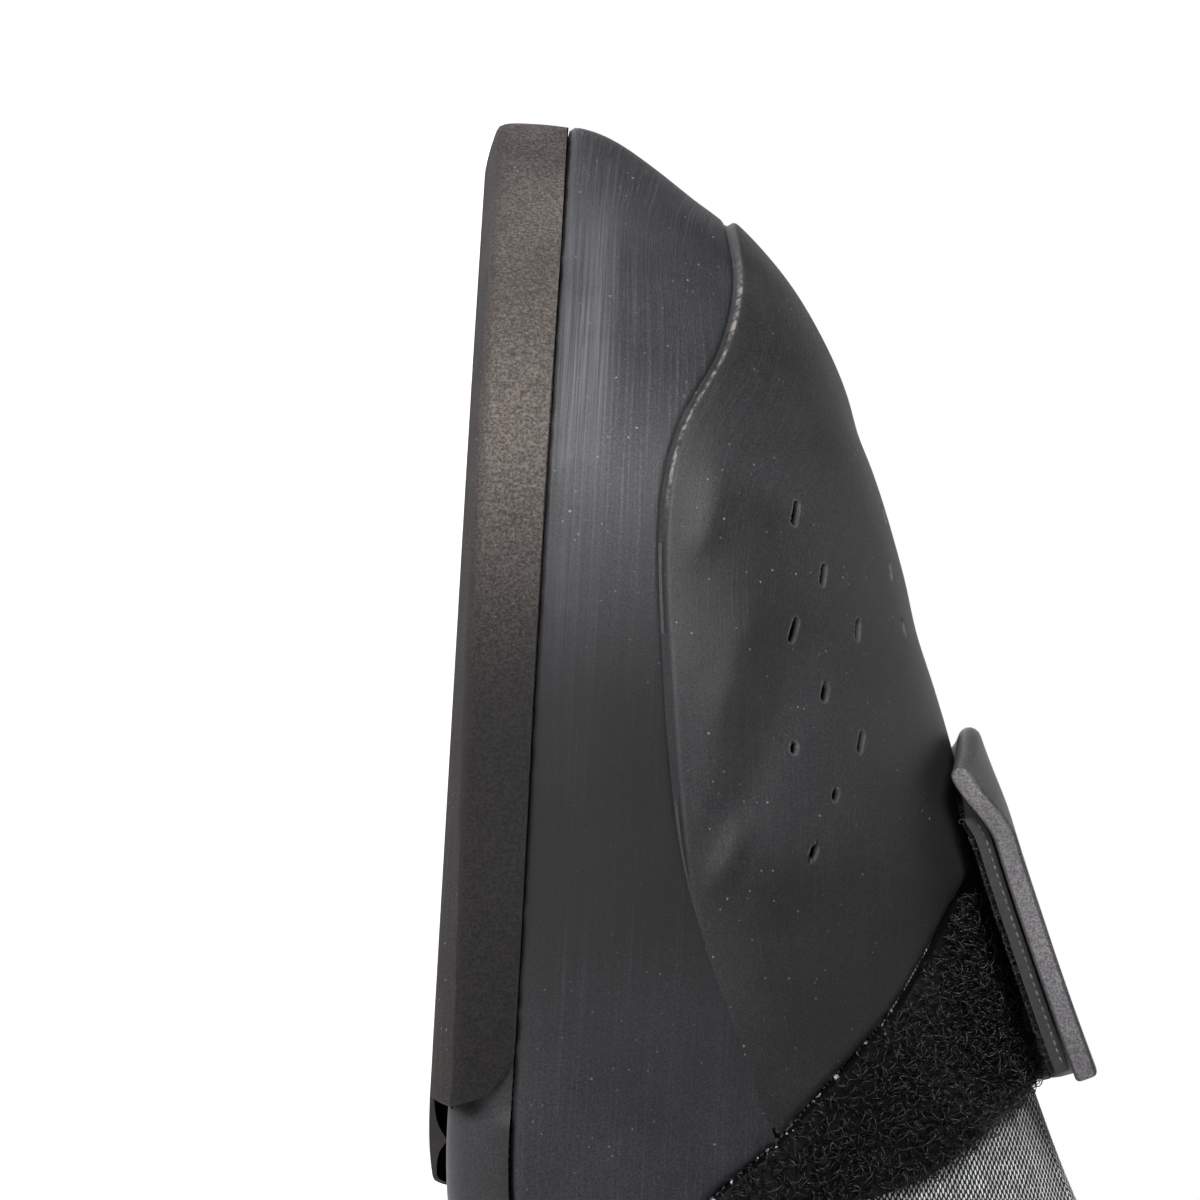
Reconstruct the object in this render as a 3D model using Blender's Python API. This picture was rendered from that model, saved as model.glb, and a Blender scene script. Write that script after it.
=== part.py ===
"""Climbing shoe for the left foot: one strap, cupped front sole, rubber toe patch and heel cup.

Frame: +Y toe, +Z up, floor at z = 0, lateral side at -X. The last is worked out in millimetres
with y = -station (station 0 is the last's toe tip) and moved to the frame when a mesh is made.
"""

import functools
import math

import bmesh
import bpy

MM = 0.001

# Last
LAST_LENGTH = 245.0
BALL_WIDTH = 83.0
INSTEP_RISE = 72.0
ARCH_RISE = 7.0
FEATHER_RADIUS = 5.6
COLLAR_FRONT = 0.531

# Layers
UPPER_WALL = 1.8
INSOLE_THICKNESS = 1.8
INSOLE_END = 0.05
SOLE_THICKNESS = 4.3
ARCH_THICKNESS = 2.0
RAND_THICKNESS = 2.0
PATCH_THICKNESS = 2.9
BAND_THICKNESS = 2.2
HEEL_THICKNESS = 2.2
FIT_GAP = 0.3

# Front sole and heel edges
EDGE_HEIGHT = 1.5
EDGE_BEVEL = 4.5
EDGE_GROWTH = 1.3
EDGE_GROWTH_START = 0.224
EDGE_GROWTH_RUN = 0.286
LATERAL_SOLE_END = 119.0
MEDIAL_SOLE_END = 133.0
BAND_SWELL = 0.2
ARCH_GAP = 1.2
HEEL_FRONT = 177.0
HEEL_EDGE_HEIGHT = 2.0

# Strap with its hook and loop pads
STRAP_THICKNESS = 2.8
STRAP_LIFT = 5.2
STRAP_REACH = 20.0
STRAP_DROOP = 0.6
STRAP_FRONT_LIFT = 4.3
STRAP_CORNER_DROOP = 2.4
STRAP_EASE = 0.26
STRAP_SWEEP = 5.0
SWEEP_START = 0.3
HOOK_THICKNESS = 1.8
HOOK_START = 9.0
HOOK_INSET = 1.5
HOOK_FRONT = 0.17
HOOK_REAR = 0.96
PILE_THICKNESS = 2.3
PILE_ROOM = 0.35
PILE_EDGE = 2.2
PILE_FRONT = 0.375
PILE_END = 0.534

# Collar binding
BINDING_WIDTH = 5.0
BINDING_HEIGHT = 5.5

# Columns of the last: station as a share of LAST_LENGTH; half widths and axis as shares of
# BALL_WIDTH; ridge height over the feather line as a share of INSTEP_RISE (past the collar it is
# the last's hidden cone); arch as a share of ARCH_RISE; swell of the wall; roundness of the dome.
LAST_COLUMNS = ("station", "lateral", "medial", "axis", "ridge", "arch", "swell", "dome")
LAST_ROWS = (
    (0.000, 0.000, 0.000, 0.120, 0.000, 0.00, 0.02, 2.10),
    (0.012, 0.076, 0.163, 0.119, 0.111, 0.00, 0.02, 2.10),
    (0.031, 0.154, 0.266, 0.114, 0.203, 0.00, 0.03, 2.10),
    (0.049, 0.231, 0.316, 0.108, 0.289, 0.00, 0.03, 2.15),
    (0.082, 0.347, 0.357, 0.093, 0.389, 0.00, 0.04, 2.20),
    (0.127, 0.439, 0.383, 0.071, 0.475, 0.00, 0.05, 2.20),
    (0.171, 0.490, 0.406, 0.051, 0.533, 0.00, 0.06, 2.15),
    (0.233, 0.523, 0.430, 0.034, 0.607, 0.00, 0.06, 2.05),
    (0.290, 0.546, 0.442, 0.023, 0.672, 0.00, 0.06, 1.95),
    (0.347, 0.558, 0.437, 0.014, 0.736, 0.00, 0.05, 1.88),
    (0.400, 0.573, 0.422, 0.010, 0.806, 0.00, 0.04, 1.82),
    (0.461, 0.564, 0.396, 0.006, 0.892, 0.00, 0.04, 1.80),
    (0.531, 0.528, 0.365, 0.004, 1.000, 0.06, 0.03, 1.80),
    (0.612, 0.458, 0.343, -0.006, 1.172, 0.60, 0.02, 2.00),
    (0.714, 0.387, 0.342, -0.017, 1.381, 0.85, 0.04, 2.30),
    (0.816, 0.361, 0.359, -0.024, 1.490, 0.12, 0.07, 2.40),
    (0.898, 0.343, 0.343, -0.024, 1.520, 0.00, 0.08, 2.40),
    (0.959, 0.271, 0.271, -0.024, 1.520, 0.00, 0.08, 2.40),
    (0.988, 0.151, 0.151, -0.024, 1.520, 0.00, 0.08, 2.40),
    (1.000, 0.000, 0.000, -0.024, 1.520, 0.00, 0.08, 2.40),
)

# Collar rim behind its front: height as a share of INSTEP_RISE over the feather line.
RIM_ROWS = (
    (0.531, 1.000),
    (0.570, 0.930),
    (0.612, 0.850),
    (0.714, 0.715),
    (0.816, 0.685),
    (0.898, 0.740),
    (0.959, 0.820),
    (1.000, 0.860),
)

# Heel back curve: height as a share of INSTEP_RISE, how far it stands in front of the heel's
# furthest point as a share of LAST_LENGTH.
HEEL_ROWS = (
    (0.00, 0.012),
    (0.20, 0.000),
    (0.45, 0.004),
    (0.70, 0.020),
    (0.90, 0.030),
    (1.20, 0.032),
)
HEEL_CURVE_START = 0.68

# Lip of the toe patch, from the toe's middle to its tail: height share of INSTEP_RISE.
LIP_ROWS = (
    (0.000, 0.250),
    (0.040, 0.265),
    (0.075, 0.285),
    (0.110, 0.265),
    (0.150, 0.205),
    (0.190, 0.185),
    (0.255, 0.200),
    (0.350, 0.245),
    (0.405, 0.300),
    (0.440, 0.350),
    (0.510, 0.450),
)
LIP_GAP = 0.22
PATCH_TIP = 0.03

# Rear edge of the rubber: from the ridge under the strap down to the heel cup.
RUBBER_ROWS = (
    (0.355, 0.760),
    (0.377, 0.714),
    (0.403, 0.671),
    (0.436, 0.604),
    (0.472, 0.502),
    (0.500, 0.424),
    (0.528, 0.330),
    (0.612, 0.230),
    (0.730, 0.205),
)

# Heel cup's top edge.
CUP_ROWS = (
    (0.715, 0.205),
    (0.800, 0.330),
    (0.900, 0.450),
    (1.000, 0.520),
)

# Border of the loop pile towards the open mesh.
PILE_ROWS = (
    (0.464, 0.896),
    (0.490, 0.800),
    (0.514, 0.690),
    (0.528, 0.560),
    (0.542, 0.420),
)

# The strap's medial run, from its anchored end to the ridge: angle round the section in
# radians, front and rear edges as shares of LAST_LENGTH, lift over the last at each edge.
STRAP_ROWS = (
    (1.15, 0.380, 0.478, PATCH_THICKNESS + 1.1, PATCH_THICKNESS + 1.1),
    (0.90, 0.352, 0.476, PATCH_THICKNESS + 1.1, PATCH_THICKNESS + 0.9),
    (0.60, 0.328, 0.474, PATCH_THICKNESS + 1.5, 1.8),
    (0.35, 0.310, 0.472, PATCH_THICKNESS + 1.5, 2.2),
    (0.12, 0.298, 0.471, PATCH_THICKNESS + 1.5, 4.0),
)
STRAP_FRONT = 0.295
STRAP_REAR = 0.470
LIFT_SPAN = 1.6
LIFT_START = 0.55

# Facets
ROUND_COLUMNS = 26
EPSILON = 0.004


def clamp(value, low, high):
    return max(low, min(high, value))


def smooth(value):
    value = clamp(value, 0.0, 1.0)
    return value * value * (3.0 - 2.0 * value)


def mix(a, b, share):
    return a + (b - a) * share


def curve(rows, column, at, warp=lambda value: value):
    """Smooth value of a table's column; the first column is the place, and warp respaces it."""
    keys = [warp(row[0]) for row in rows]
    key = clamp(warp(at), keys[0], keys[-1])
    index = 0
    while index < len(keys) - 2 and key > keys[index + 1]:
        index += 1

    def slope(at_index):
        before = max(at_index - 1, 0)
        after = min(at_index + 1, len(keys) - 1)
        return (rows[after][column] - rows[before][column]) / (keys[after] - keys[before])

    span = keys[index + 1] - keys[index]
    share = (key - keys[index]) / span
    low, high = rows[index][column], rows[index + 1][column]
    low_slope, high_slope = slope(index) * span, slope(index + 1) * span
    cube, square = share**3, share**2
    return (
        (2 * cube - 3 * square + 1) * low
        + (cube - 2 * square + share) * low_slope
        + (3 * square - 2 * cube) * high
        + (cube - square) * high_slope
    )


def arc_place(share):
    """Respaces stations so that widths and heights start and end like a circle's."""
    return math.acos(clamp(1.0 - 2.0 * share, -1.0, 1.0))


@functools.lru_cache(maxsize=None)
def last_value(name, station):
    return curve(LAST_ROWS, LAST_COLUMNS.index(name), station / LAST_LENGTH, arc_place)


# Heights over the floor of the last's underside, its feather line and its ridge.
UNDERSIDE = SOLE_THICKNESS + FIT_GAP
FEATHER = UNDERSIDE + FEATHER_RADIUS


def arch_height(station):
    return ARCH_RISE * max(0.0, last_value("arch", station))


def feather_height(station):
    return FEATHER + arch_height(station)


def ridge_height(station):
    return FEATHER + INSTEP_RISE * max(0.0, last_value("ridge", station))


def table_height(rows, station):
    return FEATHER + INSTEP_RISE * curve(rows, 1, station / LAST_LENGTH)


def rim_height(station):
    front = COLLAR_FRONT * LAST_LENGTH
    if station <= front:
        return ridge_height(front)
    step = ridge_height(front) - table_height(RIM_ROWS, front)
    return table_height(RIM_ROWS, station) + step


def heel_setback(station, height):
    start = HEEL_CURVE_START * LAST_LENGTH
    share = (height - UNDERSIDE) / INSTEP_RISE
    back = curve(HEEL_ROWS, 1, share) * LAST_LENGTH
    return back * smooth((station - start) / (LAST_LENGTH - start))


def section_point(station, side, rise):
    """Point of the last at a station; side is -1 lateral or 1 medial, rise 0 feather to 1 ridge."""
    name = "lateral" if side < 0 else "medial"
    width = max(0.0, last_value(name, station)) * BALL_WIDTH
    dome = last_value("dome", station)
    rise = clamp(rise, 0.0, 1.0)
    shape = max(0.0, 1.0 - rise**dome) ** (1.0 / dome)
    shape *= 1.0 + 4.0 * last_value("swell", station) * rise * (1.0 - rise)
    height = mix(feather_height(station), ridge_height(station), rise)
    across = last_value("axis", station) * BALL_WIDTH + side * width * shape
    return (across, heel_setback(station, height) - station, height)


def level_height(station, level):
    return mix(feather_height(station), rim_height(station), level)


@functools.lru_cache(maxsize=None)
def front_station(level):
    """Where the loop at this level crosses the ridge."""
    low, high = 0.0, COLLAR_FRONT * LAST_LENGTH
    for _ in range(40):
        middle = 0.5 * (low + high)
        if ridge_height(middle) < level_height(middle, level):
            low = middle
        else:
            high = middle
    return 0.5 * (low + high)


def column_station(around, level):
    front = front_station(max(level, 0.0))
    return mix(front, LAST_LENGTH, 0.5 - 0.5 * math.cos(math.pi * abs(around)))


def wall_point(around, level):
    """Point of the last's wall; around runs from 0 at the ridge to -1 or 1 at the heel."""
    if around > 1.0:
        around -= 2.0
    if around < -1.0:
        around += 2.0
    station = column_station(around, level)
    low, high = feather_height(station), ridge_height(station)
    rise = 1.0 if high - low < 1e-6 else (level_height(station, level) - low) / (high - low)
    return section_point(station, -1.0 if around < 0 else 1.0, rise)


def minus(a, b):
    return tuple(p - q for p, q in zip(a, b))


def along(point, direction, distance):
    return tuple(p + distance * q for p, q in zip(point, direction))


def unit(vector):
    size = math.sqrt(sum(part * part for part in vector))
    return tuple(part / size for part in vector)


def cross(a, b):
    return (
        a[1] * b[2] - a[2] * b[1],
        a[2] * b[0] - a[0] * b[2],
        a[0] * b[1] - a[1] * b[0],
    )


@functools.lru_cache(maxsize=None)
def wall_normal(around, level):
    across = minus(wall_point(around + EPSILON, level), wall_point(around - EPSILON, level))
    low, high = max(level - EPSILON, 0.0), level + EPSILON
    upward = minus(wall_point(around, high), wall_point(around, low))
    return unit(cross(upward, across))


def plan_normal(around):
    ahead, behind = wall_point(around + EPSILON, 0.0), wall_point(around - EPSILON, 0.0)
    step = minus(ahead, behind)
    return unit((-step[1], step[0], 0.0))


def form(around, level, offset=0.0):
    """The last at a place, moved out by offset. Levels 0 to 1 climb from the feather line to
    the rim, and levels 0 to -1 turn under the edge to the flat underside."""
    if level >= 0.0:
        return along(wall_point(around, level), wall_normal(around, level), offset)
    outward = plan_normal(around)
    turn = -level * math.pi / 2.0
    base = wall_point(around, 0.0)
    end_room = min(column_station(around, 0.0), LAST_LENGTH + base[1]) / (2.5 * FEATHER_RADIUS)
    inset = FEATHER_RADIUS * (1.0 - math.cos(turn)) * mix(0.35, 1.0, smooth(end_room))
    point = along(base, outward, -inset)
    point = (point[0], point[1], base[2] - FEATHER_RADIUS * math.sin(turn))
    facing = tuple(math.cos(turn) * part for part in outward[:2]) + (-math.sin(turn),)
    return along(point, facing, offset)


def section_angle(station, angle, offset=0.0):
    """The last at a station by angle from its ridge, negative to the lateral side."""

    def at(place, turned):
        dome = last_value("dome", place)
        rise = max(0.0, math.cos(turned)) ** (2.0 / dome)
        return section_point(place, -1.0 if turned < 0 else 1.0, rise)

    backward = minus(at(station + 0.5, angle), at(station - 0.5, angle))
    downward = minus(at(station, angle + 0.02), at(station, angle - 0.02))
    return along(at(station, angle), unit(cross(backward, downward)), offset)


def level_at(around, rows):
    """Level where a column crosses a line given as heights along the stations."""
    low, high = 0.0, 1.0
    for _ in range(30):
        middle = 0.5 * (low + high)
        station = column_station(around, middle)
        if level_height(station, middle) < table_height(rows, station):
            low = middle
        else:
            high = middle
    return 0.5 * (low + high)


def around_at(station, level=0.0):
    """Size of the column that passes a station at a level."""
    front = front_station(level)
    share = (station - front) / (LAST_LENGTH - front)
    return math.acos(clamp(1.0 - 2.0 * share, -1.0, 1.0)) / math.pi


def steps(first, last, count):
    return [mix(first, last, index / count) for index in range(count + 1)]


def columns(first, last, extra=0):
    """Columns from first to last that take in the upper's own, so that the layers' facets run
    side by side; extra ones split the last step."""
    margin = 0.15 / ROUND_COLUMNS
    joints = [around_at(place) for place in (LATERAL_SOLE_END, MEDIAL_SOLE_END, HEEL_FRONT)]
    joints += [-place for place in joints]
    inner = [index / ROUND_COLUMNS for index in range(-ROUND_COLUMNS, ROUND_COLUMNS + 1)]
    inner = [place for place in inner if min(abs(place - joint) for joint in joints) > margin]
    inner = sorted(inner + joints)
    low, high = min(first, last), max(first, last)
    margin = 0.02 / ROUND_COLUMNS
    found = [first] + [place for place in inner if low + margin < place < high - margin]
    if first > last:
        found = [first] + list(reversed(found[1:]))
    return found + steps(found[-1], last, 1 + extra)[1:]


def paired_columns(lateral, medial):
    """Two sides' columns, made as many as each other."""
    counts = [len(columns(*side)) for side in (lateral, medial)]
    most = max(counts)
    return list(zip(columns(*lateral, most - counts[0]), columns(*medial, most - counts[1])))


# Mesh making
def material(name, colour, roughness):
    made = bpy.data.materials.new(name)
    made.use_nodes = True
    shader = made.node_tree.nodes["Principled BSDF"]
    shader.inputs["Base Color"].default_value = (*colour, 1.0)
    shader.inputs["Roughness"].default_value = roughness
    shader.inputs["Metallic"].default_value = 0.0
    return made


FRAME_SHIFT = (0.0, 0.0)


def loft(name, rings, finish, cyclic=False, capped=(True, True)):
    """Closed solid through rings of equal count; a collapsed end ring closes by itself."""
    mesh = bmesh.new()
    made = []
    for ring in rings:
        points = [
            ((x + FRAME_SHIFT[0]) * MM, (y + FRAME_SHIFT[1]) * MM, z * MM) for x, y, z in ring
        ]
        made.append([mesh.verts.new(point) for point in points])
    count = len(rings[0])
    pairs = list(zip(made, made[1:]))
    if cyclic:
        pairs.append((made[-1], made[0]))
    for first, second in pairs:
        for index in range(count):
            after = (index + 1) % count
            mesh.faces.new((first[index], first[after], second[after], second[index]))
    if not cyclic and capped[0]:
        mesh.faces.new(list(reversed(made[0])))
    if not cyclic and capped[1]:
        mesh.faces.new(made[-1])
    bmesh.ops.remove_doubles(mesh, verts=mesh.verts, dist=0.00002)
    bmesh.ops.triangulate(mesh, faces=mesh.faces)
    bmesh.ops.recalc_face_normals(mesh, faces=mesh.faces)
    if mesh.calc_volume(signed=True) < 0.0:
        bmesh.ops.reverse_faces(mesh, faces=mesh.faces)
    data = bpy.data.meshes.new(name)
    mesh.to_mesh(data)
    mesh.free()
    data.shade_smooth()
    data.set_sharp_from_angle(angle=math.radians(35.0))
    solid = bpy.data.objects.new(name, data)
    solid.data.materials.append(finish)
    bpy.context.scene.collection.objects.link(solid)
    return solid


# Front sole
UNDER_LEVELS = (-0.225, -0.45, -0.72, -1.0)


def wall_points(around, wall_levels, offset):
    """A cup's wall; one that stops at the feather line leaves half a gap to the rand over it."""
    points = [form(around, level, offset) for level in wall_levels]
    if len(wall_levels) == 1:
        points = [along(points[0], (0.0, 0.0, 1.0), -0.5 * FIT_GAP)]
    return points


def edge_points(around, wall_levels, edge_height, thickness):
    """One side of a cup, from its top edge down its outer wall to the flat bottom."""
    floor = arch_height(column_station(around, 0.0))
    outward = plan_normal(around)
    base = wall_point(around, 0.0)
    points = wall_points(around, wall_levels, thickness)

    def at(offset, height):
        place = along(base, outward, offset)
        return (place[0], place[1], height)

    ridge = floor + edge_height
    points.append(at(thickness + BAND_SWELL, mix(points[-1][2], ridge, 0.5)))
    points.append(at(thickness, ridge))
    points.append(at(thickness - 0.6 * EDGE_BEVEL, mix(floor, ridge, 0.3)))
    points.append(at(thickness - 1.5 * EDGE_BEVEL, floor))
    return points


def lining_points(around, wall_levels):
    """The same side's inner wall, turned in under the last."""
    under = [form(around, level, FIT_GAP) for level in UNDER_LEVELS]
    return wall_points(around, wall_levels, FIT_GAP) + under


def between(first, last, height, count=3):
    """Points across the shoe at a height over the arch line."""
    points = []
    for index in range(1, count + 1):
        share = index / (count + 1)
        across, back = mix(first[0], last[0], share), mix(first[1], last[1], share)
        points.append((across, back, height + arch_height(-back)))
    return points


def cup_ring(lateral, medial, height):
    """Ring across the shoe from two sides' outer and inner points; height is its underside's."""
    outer_l, inner_l = lateral
    outer_m, inner_m = medial
    ring = list(outer_l)
    ring += between(outer_l[-1], outer_m[-1], height)
    ring += list(reversed(outer_m))
    ring += inner_m
    ring += between(inner_m[-1], inner_l[-1], UNDERSIDE - FIT_GAP)
    ring += list(reversed(inner_l))
    return ring


def outsole_edge_height(around):
    station = column_station(around, 0.0)
    if around >= 0:
        return EDGE_HEIGHT
    grown = smooth((station / LAST_LENGTH - EDGE_GROWTH_START) / EDGE_GROWTH_RUN)
    return EDGE_HEIGHT * (1.0 + EDGE_GROWTH * grown)


def outsole():
    lateral = (-around_at(LATERAL_SOLE_END), 0.0)
    medial = (around_at(MEDIAL_SOLE_END), 0.0)
    rings = []
    for pair in paired_columns(lateral, medial):
        sides = []
        for around in pair:
            outer = edge_points(around, [0.0], outsole_edge_height(around), BAND_THICKNESS)
            sides.append((outer, lining_points(around, [0.0])))
        rings.append(cup_ring(*sides, 0.0))
    finish = material("outsole_rubber", (0.024, 0.021, 0.019), 0.75)
    return loft("outsole", rings, finish, capped=(True, False))


# Arch rubber
def arch_rubber():
    end = around_at(HEEL_FRONT - ARCH_GAP)
    lateral = (-around_at(LATERAL_SOLE_END + ARCH_GAP), -end)
    medial = (around_at(MEDIAL_SOLE_END + ARCH_GAP), end)
    outer_offset = FIT_GAP + ARCH_THICKNESS
    rings = []
    for pair in paired_columns(lateral, medial):
        sides = []
        for around in pair:
            under = [form(around, level, outer_offset) for level in UNDER_LEVELS]
            outer = wall_points(around, [0.0], outer_offset) + under
            sides.append((outer, lining_points(around, [0.0])))
        rings.append(cup_ring(*sides, UNDERSIDE - outer_offset))
    return loft("arch_rubber", rings, material("arch_rubber", (0.020, 0.019, 0.020), 0.6))


# Heel cup
def heel_cup():
    start = around_at(HEEL_FRONT)
    rings = []
    for share in columns(start, 1.0):
        sides = []
        for side in (-1.0, 1.0):
            around = side * share
            top = level_at(around, CUP_ROWS)
            walls = steps(top, 0.0, 6)
            thickness = FIT_GAP + HEEL_THICKNESS
            outer = edge_points(around, walls, HEEL_EDGE_HEIGHT, thickness)
            sides.append((outer, lining_points(around, walls)))
        rings.append(cup_ring(*sides, 0.0))
    finish = material("heel_rubber", (0.022, 0.021, 0.022), 0.6)
    return loft("heel_cup", rings, finish, capped=(True, False))


# Rand
def gap_level(around, level, distance):
    """Level moved up or down the wall by a distance."""
    here, there = form(around, level), form(around, level + 0.01)
    size = math.sqrt(sum(part * part for part in minus(there, here)))
    return level + 0.01 * distance / size


def rand_top(around):
    return min(level_at(around, LIP_ROWS), level_at(around, RUBBER_ROWS))


def rand():
    end = around_at(HEEL_FRONT - ARCH_GAP)
    outer_offset = FIT_GAP + RAND_THICKNESS
    rings = []
    for around in columns(-end, end):
        low = gap_level(around, 0.0, 0.5 * FIT_GAP)
        high = gap_level(around, rand_top(around), -LIP_GAP)
        levels = steps(low, high, 6)
        outer = [form(around, level, outer_offset) for level in levels]
        inner = [form(around, level, FIT_GAP) for level in levels]
        rings.append(outer + list(reversed(inner)))
    return loft("rand", rings, material("rand_rubber", (0.030, 0.028, 0.031), 0.5))


# Toe patch
def toe_patch():
    reach = 0.75
    while level_at(reach, RUBBER_ROWS) - level_at(reach, LIP_ROWS) < PATCH_TIP:
        reach -= 0.002
    outer_offset = FIT_GAP + PATCH_THICKNESS
    rings = []
    for around in columns(-reach, reach):
        low = gap_level(around, level_at(around, LIP_ROWS), LIP_GAP)
        high = level_at(around, RUBBER_ROWS)
        levels = steps(low, high, 8)
        outer = [form(around, level, outer_offset) for level in levels]
        inner = [form(around, level, FIT_GAP) for level in levels]
        rings.append(outer + list(reversed(inner)))
    return loft("toe_patch", rings, material("patch_rubber", (0.028, 0.026, 0.029), 0.45))


# Upper
UPPER_LEVELS = (-0.45, 0.0, 0.06, 0.14, 0.24, 0.34, 0.42, 0.49, 0.56, 0.63, 0.70, 0.77, 0.85, 0.93, 1.0)


def upper():
    rings = []
    for around in columns(-1.0, 1.0)[:-1]:
        outer = [form(around, level) for level in UPPER_LEVELS]
        inner = [form(around, level, -UPPER_WALL) for level in UPPER_LEVELS]
        rings.append(outer + list(reversed(inner)))
    return loft("upper", rings, material("upper_knit", (0.035, 0.034, 0.036), 0.85), cyclic=True)


# Insole
def insole():
    rings = []
    turn = math.asin(1.0 - INSOLE_THICKNESS / FEATHER_RADIUS)
    top = -turn / (math.pi / 2.0)
    for share in columns(INSOLE_END, 1.0 - INSOLE_END):
        sides = []
        for side in (-1.0, 1.0):
            around = side * share
            edge = form(around, top, -0.1)
            low = form(around, -1.0)
            sides.append([edge, low])
        outer_l, outer_m = sides
        ring = outer_l + between(outer_l[-1], outer_m[-1], UNDERSIDE) + list(reversed(outer_m))
        ring += between(outer_m[0], outer_l[0], UNDERSIDE + INSOLE_THICKNESS)
        rings.append(ring)
    finish = material("insole_board", (0.045, 0.042, 0.040), 0.9)
    return loft("insole", rings, finish)


# Loop pile pad
def pile_pad():
    first, last = PILE_FRONT * LAST_LENGTH, PILE_END * LAST_LENGTH
    seat = FIT_GAP + PILE_ROOM
    rings = []
    for station in steps(first, last, 14):
        def angle_of(height):
            rise = (height - feather_height(station)) / (
                ridge_height(station) - feather_height(station)
            )
            rise = clamp(rise, 0.0, 1.0)
            return math.acos(rise ** (last_value("dome", station) / 2.0))

        low = angle_of(table_height(RUBBER_ROWS, station) + PILE_EDGE)
        high = 0.10
        if station > PILE_ROWS[0][0] * LAST_LENGTH:
            high = max(high, angle_of(table_height(PILE_ROWS, station)))
        low = max(low, high + 0.03)
        angles = steps(-high, -low, 7)
        outer = [section_angle(station, angle, seat + PILE_THICKNESS) for angle in angles]
        inner = [section_angle(station, angle, seat) for angle in angles]
        rings.append(outer + list(reversed(inner)))
    return loft("pile_pad", rings, material("loop_pile", (0.010, 0.010, 0.011), 0.95))


# Strap
def ridge_frame(station):
    """Ridge point and the direction square to the ridge there, in the shoe's long plane."""
    slope = (ridge_height(station + 1.0) - ridge_height(station - 1.0)) / 2.0
    point = (last_value("axis", station) * BALL_WIDTH, -station, ridge_height(station))
    return point, unit((0.0, slope, 1.0))


def free_run(share, reach, rise):
    """The strap's free run, which leaves the ridge flat towards the lateral side. Share runs
    from its front edge to its rear edge, and rise is over its underside."""
    front = STRAP_FRONT * LAST_LENGTH + STRAP_SWEEP * smooth(reach / STRAP_REACH - SWEEP_START)
    point, up = ridge_frame(mix(front, STRAP_REAR * LAST_LENGTH, share))
    ease = 1.0 - smooth(share / STRAP_EASE)
    bend = (reach / STRAP_REACH) ** 2
    lift = mix(STRAP_LIFT, STRAP_FRONT_LIFT, ease)
    lift -= bend * (STRAP_DROOP + STRAP_CORNER_DROOP * ease)
    point = along(point, up, lift + rise)
    return (point[0] - reach, point[1], point[2])


def strap():
    rings = []
    shares = steps(0.0, 1.0, 8)
    turned = [(-row[0],) + row[1:] for row in STRAP_ROWS]
    front_column, rear_column, front_lift_column, rear_lift_column = range(1, 5)
    for place in steps(turned[0][0], turned[-1][0], 9):
        front, rear = curve(turned, front_column, place), curve(turned, rear_column, place)
        lift_front = curve(turned, front_lift_column, place)
        lift_rear = curve(turned, rear_lift_column, place)
        upper_side = []
        lower_side = []
        for share in shares:
            station = mix(front, rear, share) * LAST_LENGTH
            lift = mix(lift_front, lift_rear, smooth(LIFT_SPAN * share - LIFT_START))
            lower_side.append(section_angle(station, -place, lift))
            upper_side.append(section_angle(station, -place, lift + STRAP_THICKNESS))
        rings.append(upper_side + list(reversed(lower_side)))
    for reach in steps(0.0, STRAP_REACH, 5):
        upper_side = [free_run(share, reach, STRAP_THICKNESS) for share in shares]
        lower_side = [free_run(share, reach, 0.0) for share in shares]
        rings.append(upper_side + list(reversed(lower_side)))
    return loft("strap", rings, material("strap_leather", (0.045, 0.044, 0.046), 0.5))


def hook_pad():
    rings = []
    shares = steps(HOOK_FRONT, HOOK_REAR, 7)
    for reach in steps(HOOK_START, STRAP_REACH - HOOK_INSET, 3):
        upper_side = [free_run(share, reach, -FIT_GAP) for share in shares]
        lower_side = [free_run(share, reach, -FIT_GAP - HOOK_THICKNESS) for share in shares]
        rings.append(upper_side + list(reversed(lower_side)))
    return loft("hook_pad", rings, material("hook_tape", (0.008, 0.008, 0.009), 0.8))


# Collar binding
def collar_binding():
    rings = []
    for around in steps(-1.0, 1.0, 2 * ROUND_COLUMNS)[:-1]:
        rim = form(around, 1.0, -0.5 * UPPER_WALL)
        below = form(around, 0.97, -0.5 * UPPER_WALL)
        up = unit(minus(rim, below))
        out = wall_normal(around, 1.0)
        centre = along(rim, up, FIT_GAP + 0.5 * BINDING_HEIGHT)
        ring = []
        for index in range(10):
            turn = 2.0 * math.pi * (index + 0.5) / 10
            side = 0.5 * BINDING_WIDTH * math.cos(turn)
            rise = 0.5 * BINDING_HEIGHT * clamp(1.15 * math.sin(turn), -1.0, 1.0)
            ring.append(along(along(centre, out, side), up, rise))
        rings.append(ring)
    finish = material("binding_knit", (0.012, 0.012, 0.013), 0.9)
    return loft("collar_binding", rings, finish, cyclic=True)


def plan_middle():
    """Shift that puts the middle of the whole shoe's plan on the origin."""
    reach = FIT_GAP + RAND_THICKNESS + 0.2
    points = [form(around, 0.0, reach) for around in steps(-1.0, 1.0, 160)]
    across = [point[0] for point in points]
    back = [point[1] for point in points]
    return (-0.5 * (min(across) + max(across)), -0.5 * (min(back) + max(back)))


def main():
    global FRAME_SHIFT
    for item in list(bpy.data.objects):
        bpy.data.objects.remove(item)
    FRAME_SHIFT = plan_middle()
    outsole()
    arch_rubber()
    heel_cup()
    upper()
    insole()
    rand()
    toe_patch()
    pile_pad()
    strap()
    hook_pad()
    collar_binding()


main()
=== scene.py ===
"""Climbing shoe on a pale floor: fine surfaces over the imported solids, lights and camera."""

import math

import bmesh
import bpy
import numpy as np
from mathutils import Matrix, Vector


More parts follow.
